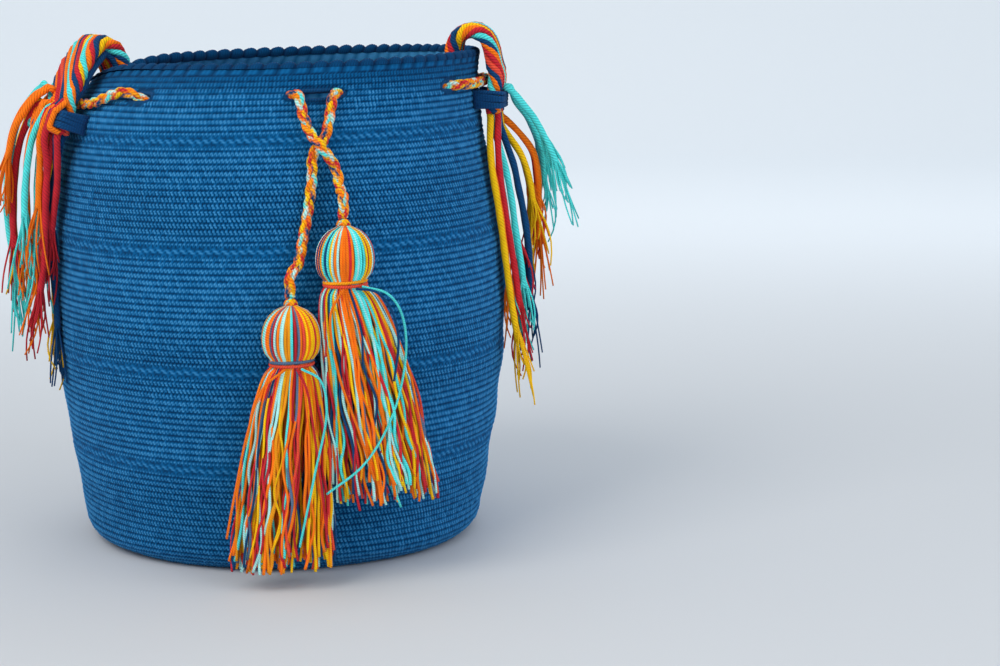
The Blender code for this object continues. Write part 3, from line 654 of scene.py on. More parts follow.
class CrochetBody:
    """The worked wall with its rim and eyelets, its inner face and its base."""

    AROUND = 3
    UP = 3

    def __init__(self, shape: WallShape, eyelets: EyeletSize) -> None:
        self.shape = shape
        self.size = shape.size
        self.eyelets = eyelets
        self.material = CrochetFinish().build()
        levels = self.shape.rim_height * np.linspace(0.0, 1.0, 801) ** 1.4
        profile = np.stack([self.shape.radius(levels), levels], axis=1)
        self._along = along_line(profile)
        self._levels = levels

    def level(self, row: np.ndarray) -> np.ndarray:
        """Finds the heights of rows counted from the base's edge."""
        return np.interp(row / self.size.rows * self._along[-1], self._along, self._levels)

    def row(self, height: float) -> float:
        """Finds the row at a height on the upright wall."""
        return float(np.interp(height, self._levels, self._along)) / self._along[-1] * self.size.rows

    def degrees(self, stitch: np.ndarray) -> np.ndarray:
        """Turns places round the bag from stitches into degrees."""
        return stitch / self.size.stitches * 360.0

    def relief(self, stitch: np.ndarray, row: np.ndarray) -> np.ndarray:
        """Shapes the worked surface: slanting lozenges in rows, and a few bolder rope rows.

        Args:
            stitch: Places round the bag, in stitches.
            row: Places up the bag, in rows.

        Returns:
            Relief from 0 in the valleys to about 1 on the crowns.
        """
        index = np.floor(row)
        up = row - index
        drift = 0.5 * (index % 2) + 0.13 * np.sin(index * 1.7)
        lean = stitch + drift + 0.8 * (up - 0.5)
        column = np.floor(lean)
        across = lean - column
        chance = np.sin(column * 12.9898 + index * 78.233) * 43758.5453
        chance = chance - np.floor(chance)
        tilted = up + 0.24 * (across - 0.5) + 0.14 * (chance - 0.5)
        band = np.clip(1.0 - np.abs(2.0 * tilted - 1.0) ** 2.2, 0.0, 1.0) ** 0.8
        lump = np.clip(1.0 - np.abs(2.0 * across - 1.0) ** 2.0, 0.0, 1.0)
        result = (0.12 + 0.88 * band) * (0.04 + 0.96 * lump) * (0.80 + 0.28 * chance)
        # The last rows under the rim lie flatter, so the colour ramp gives them painted shade
        result = result * (1.0 - 0.42 * np.clip((row - self.size.rows + 5.0) / 4.0, 0.0, 1.0))
        for height in self.size.rope_heights:
            off = row - math.floor(self.row(height)) - 0.5
            sway = 0.10 * np.sin(math.tau * 45.0 * stitch / self.size.stitches)
            rope = np.clip(1.0 - np.abs((off + sway) / 0.70) ** 2.2, 0.0, 1.0)
            twist = stitch * 0.5 + 0.85 * off
            strand = np.clip(1.0 - np.abs(2.0 * (twist - np.floor(twist)) - 1.0) ** 2.0, 0.0, 1.0)
            result = np.where(np.abs(off) < 0.70, rope * (0.10 + 0.68 * strand), result)
            # Beside each rope row the relief dips, which sinks the surface and paints shade in the groove
            result = np.where(np.abs(np.abs(off) - 0.85) < 0.2, 0.6 * result, result)
        shell = np.abs(np.sin(math.pi * stitch * self.size.shells / self.size.stitches)) ** 0.7
        fan = 0.5 + 0.5 * np.cos(math.tau * stitch * 2.0 / 3.0)
        edge = 0.6 * np.clip((row - self.size.rows + 1.0) * 3.0, 0.0, 1.0)
        return np.where(row > self.size.rows - 1.0, edge * (0.15 + 0.75 * shell) * (0.7 + 0.3 * fan), result)

    def in_eyelet(self, stitch: np.ndarray, row: np.ndarray, grow: float = 0.0) -> np.ndarray:
        """Tells which places lie in a slit.

        Args:
            stitch: Places round the bag, in stitches.
            row: Places up the bag, in rows.
            grow: Extra half width and half height of the slits.

        Returns:
            True inside.
        """
        angle = self.degrees(stitch)
        height = self.level(row)
        inside = np.zeros(np.broadcast(angle, height).shape, bool)
        for middle, width in self.slits():
            off = (angle - middle + 180.0) % 360.0 - 180.0
            side = np.radians(off) * self.size.shoulder / (self.eyelets.half_wide * width + grow)
            rise = height - (self.size.height - self.eyelets.drop)
            rise = rise / (self.eyelets.half_high * self.eyelets.gap + grow)
            inside |= side**4 + rise**2 < 1.0
        return inside

    def slits(self) -> list[tuple[float, float]]:
        """Lists the angle and width of each slit."""
        sizes = self.eyelets
        return [(sizes.front_angle, sizes.front_width)] + [(a, sizes.width) for a in sizes.angles]

    def _object(
        self, name: str, points: np.ndarray, relief: np.ndarray, stitch: np.ndarray, row: np.ndarray,
        keep: np.ndarray | None = None, outside: bool = True,
    ) -> bpy.types.Object:
        rings, columns = points.shape[:2]
        i, j, quads = ring_quads(rings, columns)
        step = stitch[1] - stitch[0]
        u0, v0 = stitch[j], row[i]
        uv = np.stack([
            np.stack([u0, v0], -1), np.stack([u0 + step, v0], -1),
            np.stack([u0 + step, row[i + 1]], -1), np.stack([u0, row[i + 1]], -1),
        ], axis=2)
        quads, uv = quads.reshape(-1, 4), uv.reshape(-1, 4, 2)
        if keep is not None:
            quads, uv = quads[keep.ravel()], uv[keep.ravel()]
        if not outside:
            quads, uv = quads[:, ::-1], uv[:, ::-1]
        used, index = np.unique(quads, return_inverse=True)
        quads = index.reshape(quads.shape)
        mesh = bpy.data.meshes.new(name)
        mesh.from_pydata(points.reshape(-1, 3)[used].tolist(), [], quads.tolist())
        layer = mesh.uv_layers.new(name="stitches")
        layer.data.foreach_set("uv", uv.astype(np.float32).ravel())
        values = mesh.attributes.new("relief", "FLOAT", "POINT")
        values.data.foreach_set("value", relief.reshape(-1)[used].astype(np.float32))
        return add_object(mesh, self.material)

    def outer_band(self, name: str, first: int, last: int) -> bpy.types.Object:
        """Makes a band of the outer wall.

        Args:
            name: Its name.
            first: Row it starts at.
            last: Row it ends at.

        Returns:
            The new object.
        """
        around = self.AROUND
        up = self.UP
        columns = self.size.stitches * around
        stitch = np.arange(columns) / around
        row = np.arange(first * up, last * up + 1) / up
        stitches, rows = np.meshgrid(stitch, row)
        relief = self.relief(stitches, np.minimum(rows, self.size.rows - 1e-6))
        sunk = self.in_eyelet(stitches, rows, 0.0022)
        # Round the slits the stitches sink, and the ramp paints them darker as shade
        relief = np.where(sunk, 0.35 * relief, relief)
        level = self.level(rows)
        turn = math.tau * stitches / self.size.stitches
        wave = 0.0006 * np.sin(rows * 0.61 + 2.0 * np.sin(2.0 * turn)) * np.sin(5.0 * turn)
        standoff = self.size.relief * (relief - 0.25) + wave
        points = self.shape.at(self.degrees(stitches), level, standoff)
        centre_s, centre_r = stitch + 0.5 / around, 0.5 * (row[1:] + row[:-1])
        keep = ~self.in_eyelet(*np.meshgrid(centre_s, centre_r))
        points[..., 2] = np.maximum(points[..., 2], 0.0002)
        return self._object(name, points, np.clip(relief, 0.0, 1.0), stitch, row, keep)

    def rim(self) -> bpy.types.Object:
        """Makes the scalloped edge: fans of stitches over the last row.

        Returns:
            The new object.
        """
        around = 6
        columns = self.size.stitches * around
        stitch = np.arange(columns) / around
        steps = np.linspace(0.0, math.pi, 13)
        stitches, turn = np.meshgrid(stitch, steps)
        lobe = np.abs(np.sin(math.pi * stitches * self.size.shells / self.size.stitches)) ** 0.6
        fan = 0.5 + 0.5 * np.cos(math.tau * stitches * 4.0 / 3.0)
        lift = self.size.scallop * (0.50 + 0.48 * lobe + 0.05 * fan)
        level = self.shape.rim_height + lift * np.sin(turn)
        half = 0.5 * self.size.wall + 0.0003 + 0.0007 * lobe
        middle = -0.5 * self.size.wall
        bulge = 0.0012 * np.sin(turn) * (0.25 + 0.55 * lobe + 0.2 * fan)
        standoff = middle + (half + bulge) * np.cos(turn)
        angle = self.degrees(stitches)
        base = self.shape.at(angle, np.minimum(level, self.size.height), standoff)
        base[..., 2] += np.maximum(level - self.size.height, 0.0)
        knots = 0.5 + 0.5 * np.sin(math.tau * stitches * 4.0 / 3.0 + 9.0 * steps[:, None])
        # The rim's relief only sets its colour: kept low, so the ramp paints the rim in shade, least on its lobes
        relief = (0.03 + 0.25 * lobe) * (0.60 + 0.40 * fan) * (0.5 + 0.6 * knots)
        rows = self.size.rows + steps / math.pi * 2.0
        return self._object("crocheted_rim", base, relief, stitch, rows)

    def lining(self) -> bpy.types.Object:
        """Makes the inner face of the wall and the floor inside.

        Returns:
            The new object.
        """
        columns = 256
        stitch = np.arange(columns) * self.size.stitches / columns
        row = np.linspace(4.0, self.size.rows, 89)
        stitches, rows = np.meshgrid(stitch, row)
        angle = self.degrees(stitches)
        relief = 0.5 + 0.5 * np.cos(math.tau * rows)
        relief = relief * (0.6 + 0.4 * np.abs(np.sin(math.pi * stitches)))
        standoff = -self.size.wall - 0.0004 * relief
        points = self.shape.at(angle, self.level(rows), standoff)
        floor_rings = []
        edge = points[0]
        for part in np.linspace(0.0, 1.0, 14)[:-1]:
            ring = edge * part
            ring[:, 2] = self.size.wall + (edge[:, 2] - self.size.wall) * part**6
            floor_rings.append(ring)
        points = np.vstack([np.array(floor_rings), points])
        row = np.concatenate([np.linspace(-28.0, 3.0, 13), row])
        relief = np.vstack([np.full((13, columns), 0.5), relief])
        centre_r = 0.5 * (row[1:] + row[:-1])
        keep = ~self.in_eyelet(*np.meshgrid(stitch + 0.4, np.maximum(centre_r, 0.0)))
        return self._object("crocheted_lining", points, relief, stitch, row, keep, outside=False)

    def base(self) -> bpy.types.Object:
        """Makes the flat base, worked in rounds from its middle.

        Returns:
            The new object.
        """
        columns, rounds = 128, 29
        stitch = np.arange(columns) * self.size.stitches / columns
        row = np.linspace(0.0, rounds, 2 * rounds + 1)
        stitches, rows = np.meshgrid(stitch, row)
        turn = np.radians(self.degrees(stitches))
        radius = self.size.base * (1.0 - rows / rounds * 0.996)
        dent = 0.0007
        dents = np.where(np.arange(len(row)) % 2 == 0, dent, 0.0)[:, None] * np.ones_like(radius)
        dents[0] = 0.0
        points = round_axis(turn, radius, dents)
        relief = 1.0 - dents / dent * 0.8
        return self._object("crocheted_base", points, relief, stitch, -row, outside=False)

    def eyelet_edges(self) -> bpy.types.Object:
        """Makes the stitches that line each slit through the wall.

        Returns:
            The new object.
        """
        bundle = YarnBundle("eyelet_edges")
        height = self.size.height - self.eyelets.drop
        for middle, width in self.slits():
            turn = np.linspace(0.0, math.tau, 41)
            power = 0.55
            side = np.sign(np.cos(turn)) * np.abs(np.cos(turn)) ** power
            side = side * (self.eyelets.half_wide * width + 0.0004)
            rise = np.sin(turn) * (self.eyelets.half_high * self.eyelets.gap + 0.0006)
            angle = middle + np.degrees(side / self.size.shoulder)
            for standoff in (-0.0008, -0.5 * self.size.wall, 0.0008 - self.size.wall):
                line = self.shape.at(angle, height + rise, np.full(len(turn), standoff))
                # The yarn lining the slits is drawn at 0.7 of its colour: painted shade inside the slits
                bundle.add(line, 0.0011, Yarn.BLUE, sides=6, groove=0.0016, shade=0.7)
        return bundle.build(YarnFinish("blue_cotton_yarn").build())

    def build(self) -> list[bpy.types.Object]:
        """Makes the whole body.

        Returns:
            Its pieces.
        """
        cuts = (0, 21, 42, 63, self.size.rows)
        pieces = [self.outer_band("crocheted_wall_%d" % (k + 1), a, b)
                  for k, (a, b) in enumerate(zip(cuts, cuts[1:]))]
        pieces += [self.rim(), self.lining(), self.base(), self.eyelet_edges()]
        for piece in pieces:
            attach(piece, "bag")
        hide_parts("bag_body")
        return pieces


# Drawstring


@dataclass(frozen=True)
class TasselSize:
    """One tassel: where it hangs, how its skirt falls and the colours of its neck's tie."""

    side: str
    angle: float
    pivot: float
    skirt: float
    lean: float
    foot: float
    reach: float
    tie: tuple[Yarn, ...]
    knot: float = 0.0048
    standoff: float = 0.0098
    head: float = 0.0145
    head_length: float = 0.0240
    head_depth: float = 0.80
    neck: float = 0.0100
    tie_height: float = 0.0034
    foot_depth: float = 0.0085
    flute: float = 0.0008

    def place(self, across: np.ndarray, level: np.ndarray, out: np.ndarray) -> np.ndarray:
        """Wraps flat tassel coordinates round the bag.

        Args:
            across: Places to the side of the tassel's middle.
            level: Heights above its pivot.
            out: Distances from the back of the tassel.

        Returns:
            The points.
        """
        turn = math.radians(self.angle) + across / self.reach
        radius = self.reach + out
        return round_axis(turn, radius, self.pivot + level)

    def centre(self) -> np.ndarray:
        """Gives the middle of its top knot, about which it swings."""
        return self.place(np.array(0.0), np.array(0.0), np.array(self.standoff))


TASSELS = (
    TasselSize(
        "left", 7.2, 0.1560, 0.1105, -0.0062, 0.0258, 0.135492,
        (Yarn.SLATE, Yarn.CORAL),
    ),
    TasselSize(
        "right", 18.7, 0.1983, 0.1190, 0.0222, 0.0288, 0.135453,
        (Yarn.AMBER, Yarn.CORAL),
    ),
)


@dataclass(frozen=True)
class DrawstringSize:
    """The braided drawstring: its thickness, strands and how it passes the slits."""

    diameter: float = 0.0060
    clearance: float = 0.0006
    ridge: float = 0.0008
    step: float = 0.0128
    pass_angle: float = 4.2
    strand: float = 0.00158
    sway: float = 0.00155
    rise: float = 0.0008
    pitch: float = 0.0225
    # How far it hangs under the strap's left end, which faces this way
    strap_facing: float = -57.0
    droop: float = -0.0070


class Drawstring:
    """A flat three-strand braid that runs round the mouth and hangs down to both tassels."""

    STRANDS = (
        [Yarn.ORANGE, Yarn.YELLOW, Yarn.RED, Yarn.AMBER],
        [Yarn.PALE, Yarn.AMBER, Yarn.NAVY, Yarn.ORANGE],
        [Yarn.YELLOW, Yarn.TURQUOISE, Yarn.ORANGE, Yarn.RED],
    )

    def __init__(self, size: DrawstringSize, shape: WallShape, eyelets: EyeletSize) -> None:
        self.size, self.shape, self.eyelets = size, shape, eyelets
        self.outside = 0.5 * size.diameter + size.ridge + size.clearance
        self.inside = -(shape.size.wall + 0.5 * size.diameter + size.clearance)
        self.height = shape.size.height - eyelets.drop

    def _hanging(self) -> tuple[list[np.ndarray], list[np.ndarray]]:
        """Lists the places from inside the front slit down to the right and the left tassel."""
        out, inn = self.outside, self.inside
        right = (
            (-3.5, 0.0000, inn), (4.2, 0.0000, inn), (9.2, -0.0010, out), (12.4, -0.0120, out + 0.0008),
            (14.4, -0.0215, out + 0.0044), (16.4, -0.0290, out + 0.0082), (19.8, -0.0400, out + 0.0034),
            (20.0, -0.0510, out + 0.0070),
        )
        left = (
            (31.5, 0.0000, inn), (23.8, 0.0000, inn), (18.8, -0.0014, out), (19.1, -0.0130, out + 0.0006),
            (17.8, -0.0240, out + 0.0012), (14.9, -0.0320, out + 0.0012), (14.2, -0.0450, out + 0.0008),
            (12.9, -0.0600, out + 0.0008), (11.2, -0.0750, out + 0.0020), (9.3, -0.0900, out + 0.0060),
        )
        return tuple([self.shape.at(a, self.height + r, s) for a, r, s in run] for run in (right, left))

    def route(self) -> np.ndarray:
        """Follows it from the right tassel, round the bag's mouth and down to the left tassel.

        Returns:
            Points of its middle line.
        """
        size, shape = self.size, self.shape
        right, left = self._hanging()
        route = right[::-1]
        before, here, there = -3.5, self.inside, self.outside
        last = 31.5 - 360.0
        for stop in [angle - 360.0 for angle in self.eyelets.angles[::-1]] + [last]:
            entry = last if stop == last else stop + size.pass_angle
            droop = size.droop if stop < size.strap_facing < before else 0.0
            count = max(1, round(math.radians(before - entry) * shape.size.shoulder / (2 * size.step)))
            for k in range(1, count):
                sag = droop * math.sin(math.pi * k / count) ** 0.25
                turn = before + (entry - before) * k / count
                route.append(shape.at(turn, self.height + sag, here))
            if stop != last:
                route.append(shape.at(entry, self.height, here))
                route.append(shape.at(stop, self.height, -0.5 * shape.size.wall))
                route.append(shape.at(stop - size.pass_angle, self.height, there))
            before, here, there = stop - size.pass_angle, there, here
        route += left
        up, lead = np.array([0.0, 0.0, TASSELS[0].knot + 0.0003]), np.array([0.0, 0.0, 2 * size.diameter])
        knots = {tassel.side: tassel.centre() + up for tassel in TASSELS}
        route = [knots["right"], knots["right"] + lead] + route + [knots["left"] + lead, knots["left"]]
        return even_points(smooth_curve(route), 0.0015)

    def build(self, finish: bpy.types.Material) -> bpy.types.Object:
        """Braids it.

        Args:
            finish: Its yarn.

        Returns:
            The new object.
        """
        size = self.size
        line = self.route()
        along = along_line(line)
        tangents, out = away_from_axis(line)
        side = np.cross(tangents, out)
        bundle = YarnBundle("drawstring_braid")
        for k, colours in enumerate(self.STRANDS):
            turn = math.tau * (along / size.pitch + k / 3.0)
            sway = size.sway * np.sin(turn)[:, None] * side
            rise = size.rise * np.sin(2.0 * turn)[:, None] * out
            bundle.add(line + sway + rise, size.strand, colours, sides=9, plies=3, groove=0.0017, lay=0.019)
        cord = bundle.build(finish)
        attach(cord, "bag")
        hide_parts("drawstring")
        LOG.info("drawstring: %.0f mm", 1000.0 * along[-1])
        return cord


# Each cord starts on the strap's outer face or on its tip, at a place (across the strap, then above
# the lashing or through the strap), and runs through (angle, drop below the top, standoff) places
FRINGE = {
    "left": {
        "turquoise_arc": ("face", 0.0118, 0.0093, (
            (-68.7, 0.0274, 0.0220), (-70.1, 0.0285, 0.0217), (-71.6, 0.0304, 0.0223), (-74.5, 0.0386, 0.0265),
            (-75.0, 0.0554, 0.0289), (-74.8, 0.0731, 0.0293), (-74.5, 0.0910, 0.0284), (-74.0, 0.1091, 0.0257),
            (-73.6, 0.1274, 0.0230),
        )),
        "orange_outer": ("face", 0.0048, 0.0095, (
            (-64.7, 0.0280, 0.0228), (-64.8, 0.0301, 0.0246), (-65.3, 0.0325, 0.0259), (-67.7, 0.0415, 0.0300),
            (-69.6, 0.0584, 0.0315),
        )),
        "red_outer": ("face", 0.0100, 0.0038, (
            (-66.3, 0.0329, 0.0215), (-67.0, 0.0348, 0.0220), (-68.0, 0.0370, 0.0225), (-70.3, 0.0484, 0.0250),
            (-71.5, 0.0629, 0.0259), (-72.1, 0.0779, 0.0259), (-72.4, 0.0932, 0.0255), (-72.4, 0.1086, 0.0245),
        )),
        "orange_thick": ("face", 0.0020, 0.0041, (
            (-62.7, 0.0327, 0.0205), (-62.9, 0.0348, 0.0207), (-63.3, 0.0373, 0.0209), (-64.8, 0.0518, 0.0223),
            (-66.1, 0.0684, 0.0216), (-66.8, 0.0853, 0.0200), (-67.3, 0.1026, 0.0188),
        )),
        "turquoise_middle": ("tip", 0.0040, 0.0021, (
            (-63.4, 0.0488, 0.0153), (-63.9, 0.0563, 0.0162), (-64.8, 0.0725, 0.0157), (-65.7, 0.0888, 0.0148),
            (-66.6, 0.1052, 0.0147),
        )),
        "red_middle": ("tip", -0.0050, 0.0021, (
            (-59.7, 0.0488, 0.0138), (-60.3, 0.0564, 0.0137), (-61.5, 0.0750, 0.0132), (-62.5, 0.0938, 0.0121),
            (-63.4, 0.1128, 0.0118), (-64.6, 0.1317, 0.0138),
        )),
        "red_inner": ("tip", -0.0118, 0.0021, (
            (-57.2, 0.0486, 0.0124), (-58.2, 0.0557, 0.0105), (-60.3, 0.0703, 0.0078), (-62.3, 0.0853, 0.0073),
            (-64.0, 0.1006, 0.0077),
        )),
        "navy_inner": ("tip", -0.0085, -0.0021, (
            (-59.1, 0.0485, 0.0090), (-60.8, 0.0553, 0.0083), (-63.9, 0.0705, 0.0074), (-65.7, 0.0869, 0.0068),
            (-66.6, 0.1038, 0.0059), (-67.0, 0.1209, 0.0046), (-66.9, 0.1381, 0.0033), (-66.7, 0.1553, 0.0032),
        )),
    },
    "right": {
        "yellow_front": ("tip", -0.0115, -0.0021, (
            (79.1, 0.0458, 0.0074), (77.6, 0.0528, 0.0066), (75.9, 0.0690, 0.0058), (76.0, 0.0856, 0.0057),
            (76.5, 0.1022, 0.0055), (77.1, 0.1188, 0.0054), (77.5, 0.1353, 0.0063), (77.8, 0.1516, 0.0085),
            (78.0, 0.1675, 0.0119),
        )),
        "red_front": ("tip", -0.0080, 0.0021, (
            (81.1, 0.0461, 0.0112), (80.1, 0.0536, 0.0101), (79.1, 0.0697, 0.0084), (79.2, 0.0860, 0.0078),
            (79.6, 0.1022, 0.0077), (80.0, 0.1184, 0.0084), (80.3, 0.1345, 0.0096), (80.5, 0.1504, 0.0113),
        )),
        "turquoise_front": ("tip", -0.0045, -0.0021, (
            (82.7, 0.0462, 0.0081), (82.1, 0.0538, 0.0090), (82.0, 0.0712, 0.0108), (82.3, 0.0886, 0.0112),
            (82.7, 0.1058, 0.0109), (82.9, 0.1230, 0.0118), (82.9, 0.1400, 0.0131),
        )),
        "navy_thick": ("tip", -0.0010, 0.0021, (
            (84.5, 0.0464, 0.0113), (84.3, 0.0540, 0.0126), (84.4, 0.0699, 0.0152), (85.1, 0.0857, 0.0157),
            (85.8, 0.1013, 0.0164), (86.1, 0.1170, 0.0166), (86.2, 0.1325, 0.0161), (86.2, 0.1479, 0.0158),
        )),
        "yellow_short": ("tip", 0.0045, 0.0021, (
            (87.2, 0.0464, 0.0116), (87.4, 0.0536, 0.0146), (88.1, 0.0674, 0.0203), (89.1, 0.0819, 0.0221),
            (90.1, 0.0964, 0.0220),
        )),
        "orange_rear": ("tip", 0.0100, 0.0021, (
            (89.7, 0.0455, 0.0151), (90.2, 0.0518, 0.0197), (91.2, 0.0664, 0.0271), (92.1, 0.0824, 0.0275),
            (92.7, 0.0982, 0.0251), (93.0, 0.1140, 0.0232),
        )),
        "turquoise_outer": ("face", -0.0040, 0.0030, (
            (84.1, 0.0253, 0.0203), (85.0, 0.0286, 0.0222), (86.0, 0.0333, 0.0247), (87.7, 0.0473, 0.0315),
            (88.6, 0.0607, 0.0361), (89.3, 0.0743, 0.0394),
        )),
        "turquoise_rear": ("face", 0.0060, 0.0030, (
            (88.5, 0.0251, 0.0198), (89.6, 0.0283, 0.0206), (90.9, 0.0331, 0.0218), (93.2, 0.0500, 0.0292),
            (94.3, 0.0671, 0.0326), (95.1, 0.0843, 0.0310),
        )),
    },
}


# Strap


@dataclass(frozen=True)
class StrapEnd:
    """How one end of the strap crosses the rim and is sewn to the outside."""

    side: str
    turn: float
    standoff: float
    slack: float
    crossing: float
    facing: float
    slant: float
    drop: float
    droop: float
    arch: tuple[tuple[float, float, float], ...]


@dataclass(frozen=True)
class StrapSize:
    """The strap's cords, section and run inside the bag."""

    width: float = 0.032
    thickness: float = 0.0085
    floor_gap: float = 0.0008
    bend: float = 0.026
    tail: float = 0.0030
    lashing: float = 0.0090
    over_cord: float = 0.0080
    cord: float = 0.0042
    strand: float = 0.0034
    cords: int = 19
    lay: float = 0.095
    seat: float = 0.0003
    stub: float = 0.0028


STRAP_ENDS = (
    StrapEnd(
        "left", 1.0, 0.0078, 0.0046, -75.0, -57.0, 0.020, 0.0320, -0.0070,
        (
            (0.0262, -0.0040, 0.80), (0.0184, 0.0066, 0.48), (0.0104, 0.0142, 0.20),
            (0.0012, 0.0208, 0.0), (-0.0070, 0.0164, 0.0), (-0.0112, 0.0075, 0.0),
            (-0.0122, -0.0040, 0.0), (-0.0128, -0.0180, 0.0),
        ),
    ),
    StrapEnd(
        "right", -1.0, 0.0055, 0.0, 85.0, 85.0, 0.0, 0.0290, 0.0,
        (
            (0.0125, -0.0060, 0.0), (0.0105, 0.0040, 0.0), (0.0066, 0.0118, 0.0),
            (-0.0010, 0.0148, 0.0), (-0.0085, 0.0115, 0.0), (-0.0115, 0.0035, 0.0),
            (-0.0122, -0.0090, 0.0),
        ),
    ),
)


class Strap:
    """Cords laid as a flat band, stowed in the bag with both ends over the rim."""

    COLOURS = (
        Yarn.ORANGE, Yarn.NAVY, Yarn.TURQUOISE, Yarn.RED, Yarn.ORANGE, Yarn.YELLOW, Yarn.NAVY,
        Yarn.RED, Yarn.ORANGE, Yarn.TURQUOISE, Yarn.YELLOW, Yarn.RED, Yarn.NAVY, Yarn.ORANGE,
        Yarn.TURQUOISE, Yarn.ORANGE, Yarn.NAVY, Yarn.CORAL, Yarn.RED,
    )
    PER_SPAN = 12
    CORD_LOOK = {"sides": 8, "plies": 4, "groove": 0.0019}

    def __init__(self, size: StrapSize, shape: WallShape, eyelets: EyeletSize, braid: DrawstringSize) -> None:
        self.size, self.shape = size, shape
        self.eyelet_height = shape.size.height - eyelets.drop
        self.braid = braid
        self.place, self.width, self.out = self._frames()

    def _stations(self, end: StrapEnd) -> list[np.ndarray]:
        size, shape, bag = self.size, self.shape, self.shape.size
        across, out, crossing = sideways(end.facing) * end.turn, outward(end.facing), outward(end.crossing)
        rim = crossing * bag.mouth
        rim[2] = shape.at(end.crossing, shape.rim_height)[2]
        rim = shape.dropped(rim, crossing, -0.5 * bag.wall)
        lash, edge = bag.height - end.drop, 0.5 * size.lashing
        over = self.eyelet_height + end.droop + 0.5 * self.braid.diameter
        leg = (
            (lash - edge - size.tail, end.standoff), (lash - edge, end.standoff),
            (lash + edge, end.standoff + 0.0012), (over, size.over_cord + end.slack),
        )
        stations = []
        for height, gap in leg:
            start = rim + across * end.slant
            start[2] = height * (1.0 + bag.mouth_tilt * start[0] * min(1.0, height / bag.belly_height))
            stations.append(shape.dropped(start, out, 0.0) + out * (0.5 * size.thickness + gap))
        for away, up, slant in end.arch:
            stations.append(rim + out * away + across * end.slant * slant + np.array([0.0, 0.0, up]))
        return stations

    def _frames(self) -> tuple[np.ndarray, np.ndarray, np.ndarray]:
        """Finds the middle, the width direction and the outward direction along the strap."""
        size, bag = self.size, self.shape.size
        floor = bag.wall + size.floor_gap + 0.5 * size.thickness
        legs, insides, bend = [], [], size.bend
        for end in STRAP_ENDS:
            stations = self._stations(end)
            low, inward = stations[-1] * np.array([1.0, 1.0, 0.0]), -outward(end.facing)
            runs = [(0.0, 0.165), (0.0, 0.090), (0.0, bend), (0.29 * bend, 0.29 * bend), (bend, 0.0)]
            insides.append([low + inward * run + np.array([0.0, 0.0, floor + rise]) for run, rise in runs])
            legs.append(stations)
        middle = 0.5 * (insides[0][-1] + insides[1][-1])
        points = legs[0] + insides[0] + [middle] + insides[1][::-1] + legs[1][::-1]
        line = smooth_curve(points, self.PER_SPAN)
        line[:, 2] = np.maximum(line[:, 2], floor)
        tangents = unit(np.gradient(line, axis=0))
        along = along_line(line)
        part = np.clip((along / along[-1] - 0.40) / 0.20, 0.0, 1.0)
        part = smooth_step(part)
        start, finish = -sideways(STRAP_ENDS[0].facing), sideways(STRAP_ENDS[1].facing)
        angle = math.acos(float(np.dot(start, finish)))
        width = np.outer(np.sin((1.0 - part) * angle), start) + np.outer(np.sin(part * angle), finish)
        width = unit(width)
        flat = unit(width - tangents * np.sum(width * tangents, axis=1, keepdims=True))
        width = np.where(line[:, 2:3] < 0.5 * bag.height, flat, width)
        return line, width, unit(np.cross(tangents, width))

    def end_frames(self, end: StrapEnd) -> tuple[np.ndarray, np.ndarray, np.ndarray]:
        """Gives the strap's frames counted from one end's tip, with the outward side turned out.

        Args:
            end: Which end.

        Returns:
            Middles, width directions and outward directions.
        """
        order = slice(None) if end.side == "left" else slice(None, None, -1)
        place, width, out = self.place[order], self.width[order], self.out[order]
        away = 1.0 if float(np.dot(out[0], outward(end.facing))) > 0.0 else -1.0
        return place, width, out * away

    def _loop(self, part: np.ndarray) -> tuple[np.ndarray, np.ndarray]:
        """Goes round the flat section on which the cords lie, as (across, through)."""
        half_wide = 0.5 * (self.size.width - self.size.strand)
        half_thick = 0.5 * (self.size.thickness - self.size.strand)
        straight = 2.0 * (half_wide - half_thick)
        arc = math.pi * half_thick
        s = (part % 1.0) * 2.0 * (straight + arc)
        first = np.clip(s, 0.0, straight)
        bend_a = np.clip(s - straight, 0.0, arc) / arc * math.pi
        second = np.clip(s - straight - arc, 0.0, straight)
        bend_b = np.clip(s - 2.0 * straight - arc, 0.0, arc) / arc * math.pi
        across = -0.5 * straight + first + half_thick * np.sin(bend_a) - second
        across = across - half_thick * np.sin(bend_b)
        through = half_thick * np.cos(bend_a + bend_b)
        return across, through

    def build(self, finish: bpy.types.Material) -> list[bpy.types.Object]:
        """Lays the strap's cords and winds its lashings.

        Args:
            finish: Its yarn.

        Returns:
            The strap and its two lashings.
        """
        size = self.size
        along = along_line(self.place)
        step = 0.003
        at = np.linspace(0.0, along[-1], round(along[-1] / step))
        place, width, out = (read_line(at, along, v) for v in (self.place, self.width, self.out))
        width, out = unit(width), unit(out)
        bundle = YarnBundle("strap_cords")
        for k, yarn in enumerate(self.COLOURS):
            wander = 0.010 * np.sin(at / 0.011 + 2.4 * k) + 0.006 * np.sin(at / 0.0043 + 1.7 * k)
            across, through = self._loop(k / size.cords + at / size.lay + wander)
            loose = 1.0 + 0.14 * np.sin(at / 0.009 + 3.1 * k)
            line = place + width * across[:, None] + out * (through * loose)[:, None]
            bundle.add(line, 0.54 * size.strand, yarn, **self.CORD_LOOK)
        self._under_layer(bundle, STRAP_ENDS[0])
        self._over_layer(bundle, STRAP_ENDS[0])
        strap = bundle.build(finish)
        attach(strap, "bag")
        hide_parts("strap")
        return [strap] + [self.lashing(end, finish) for end in STRAP_ENDS]

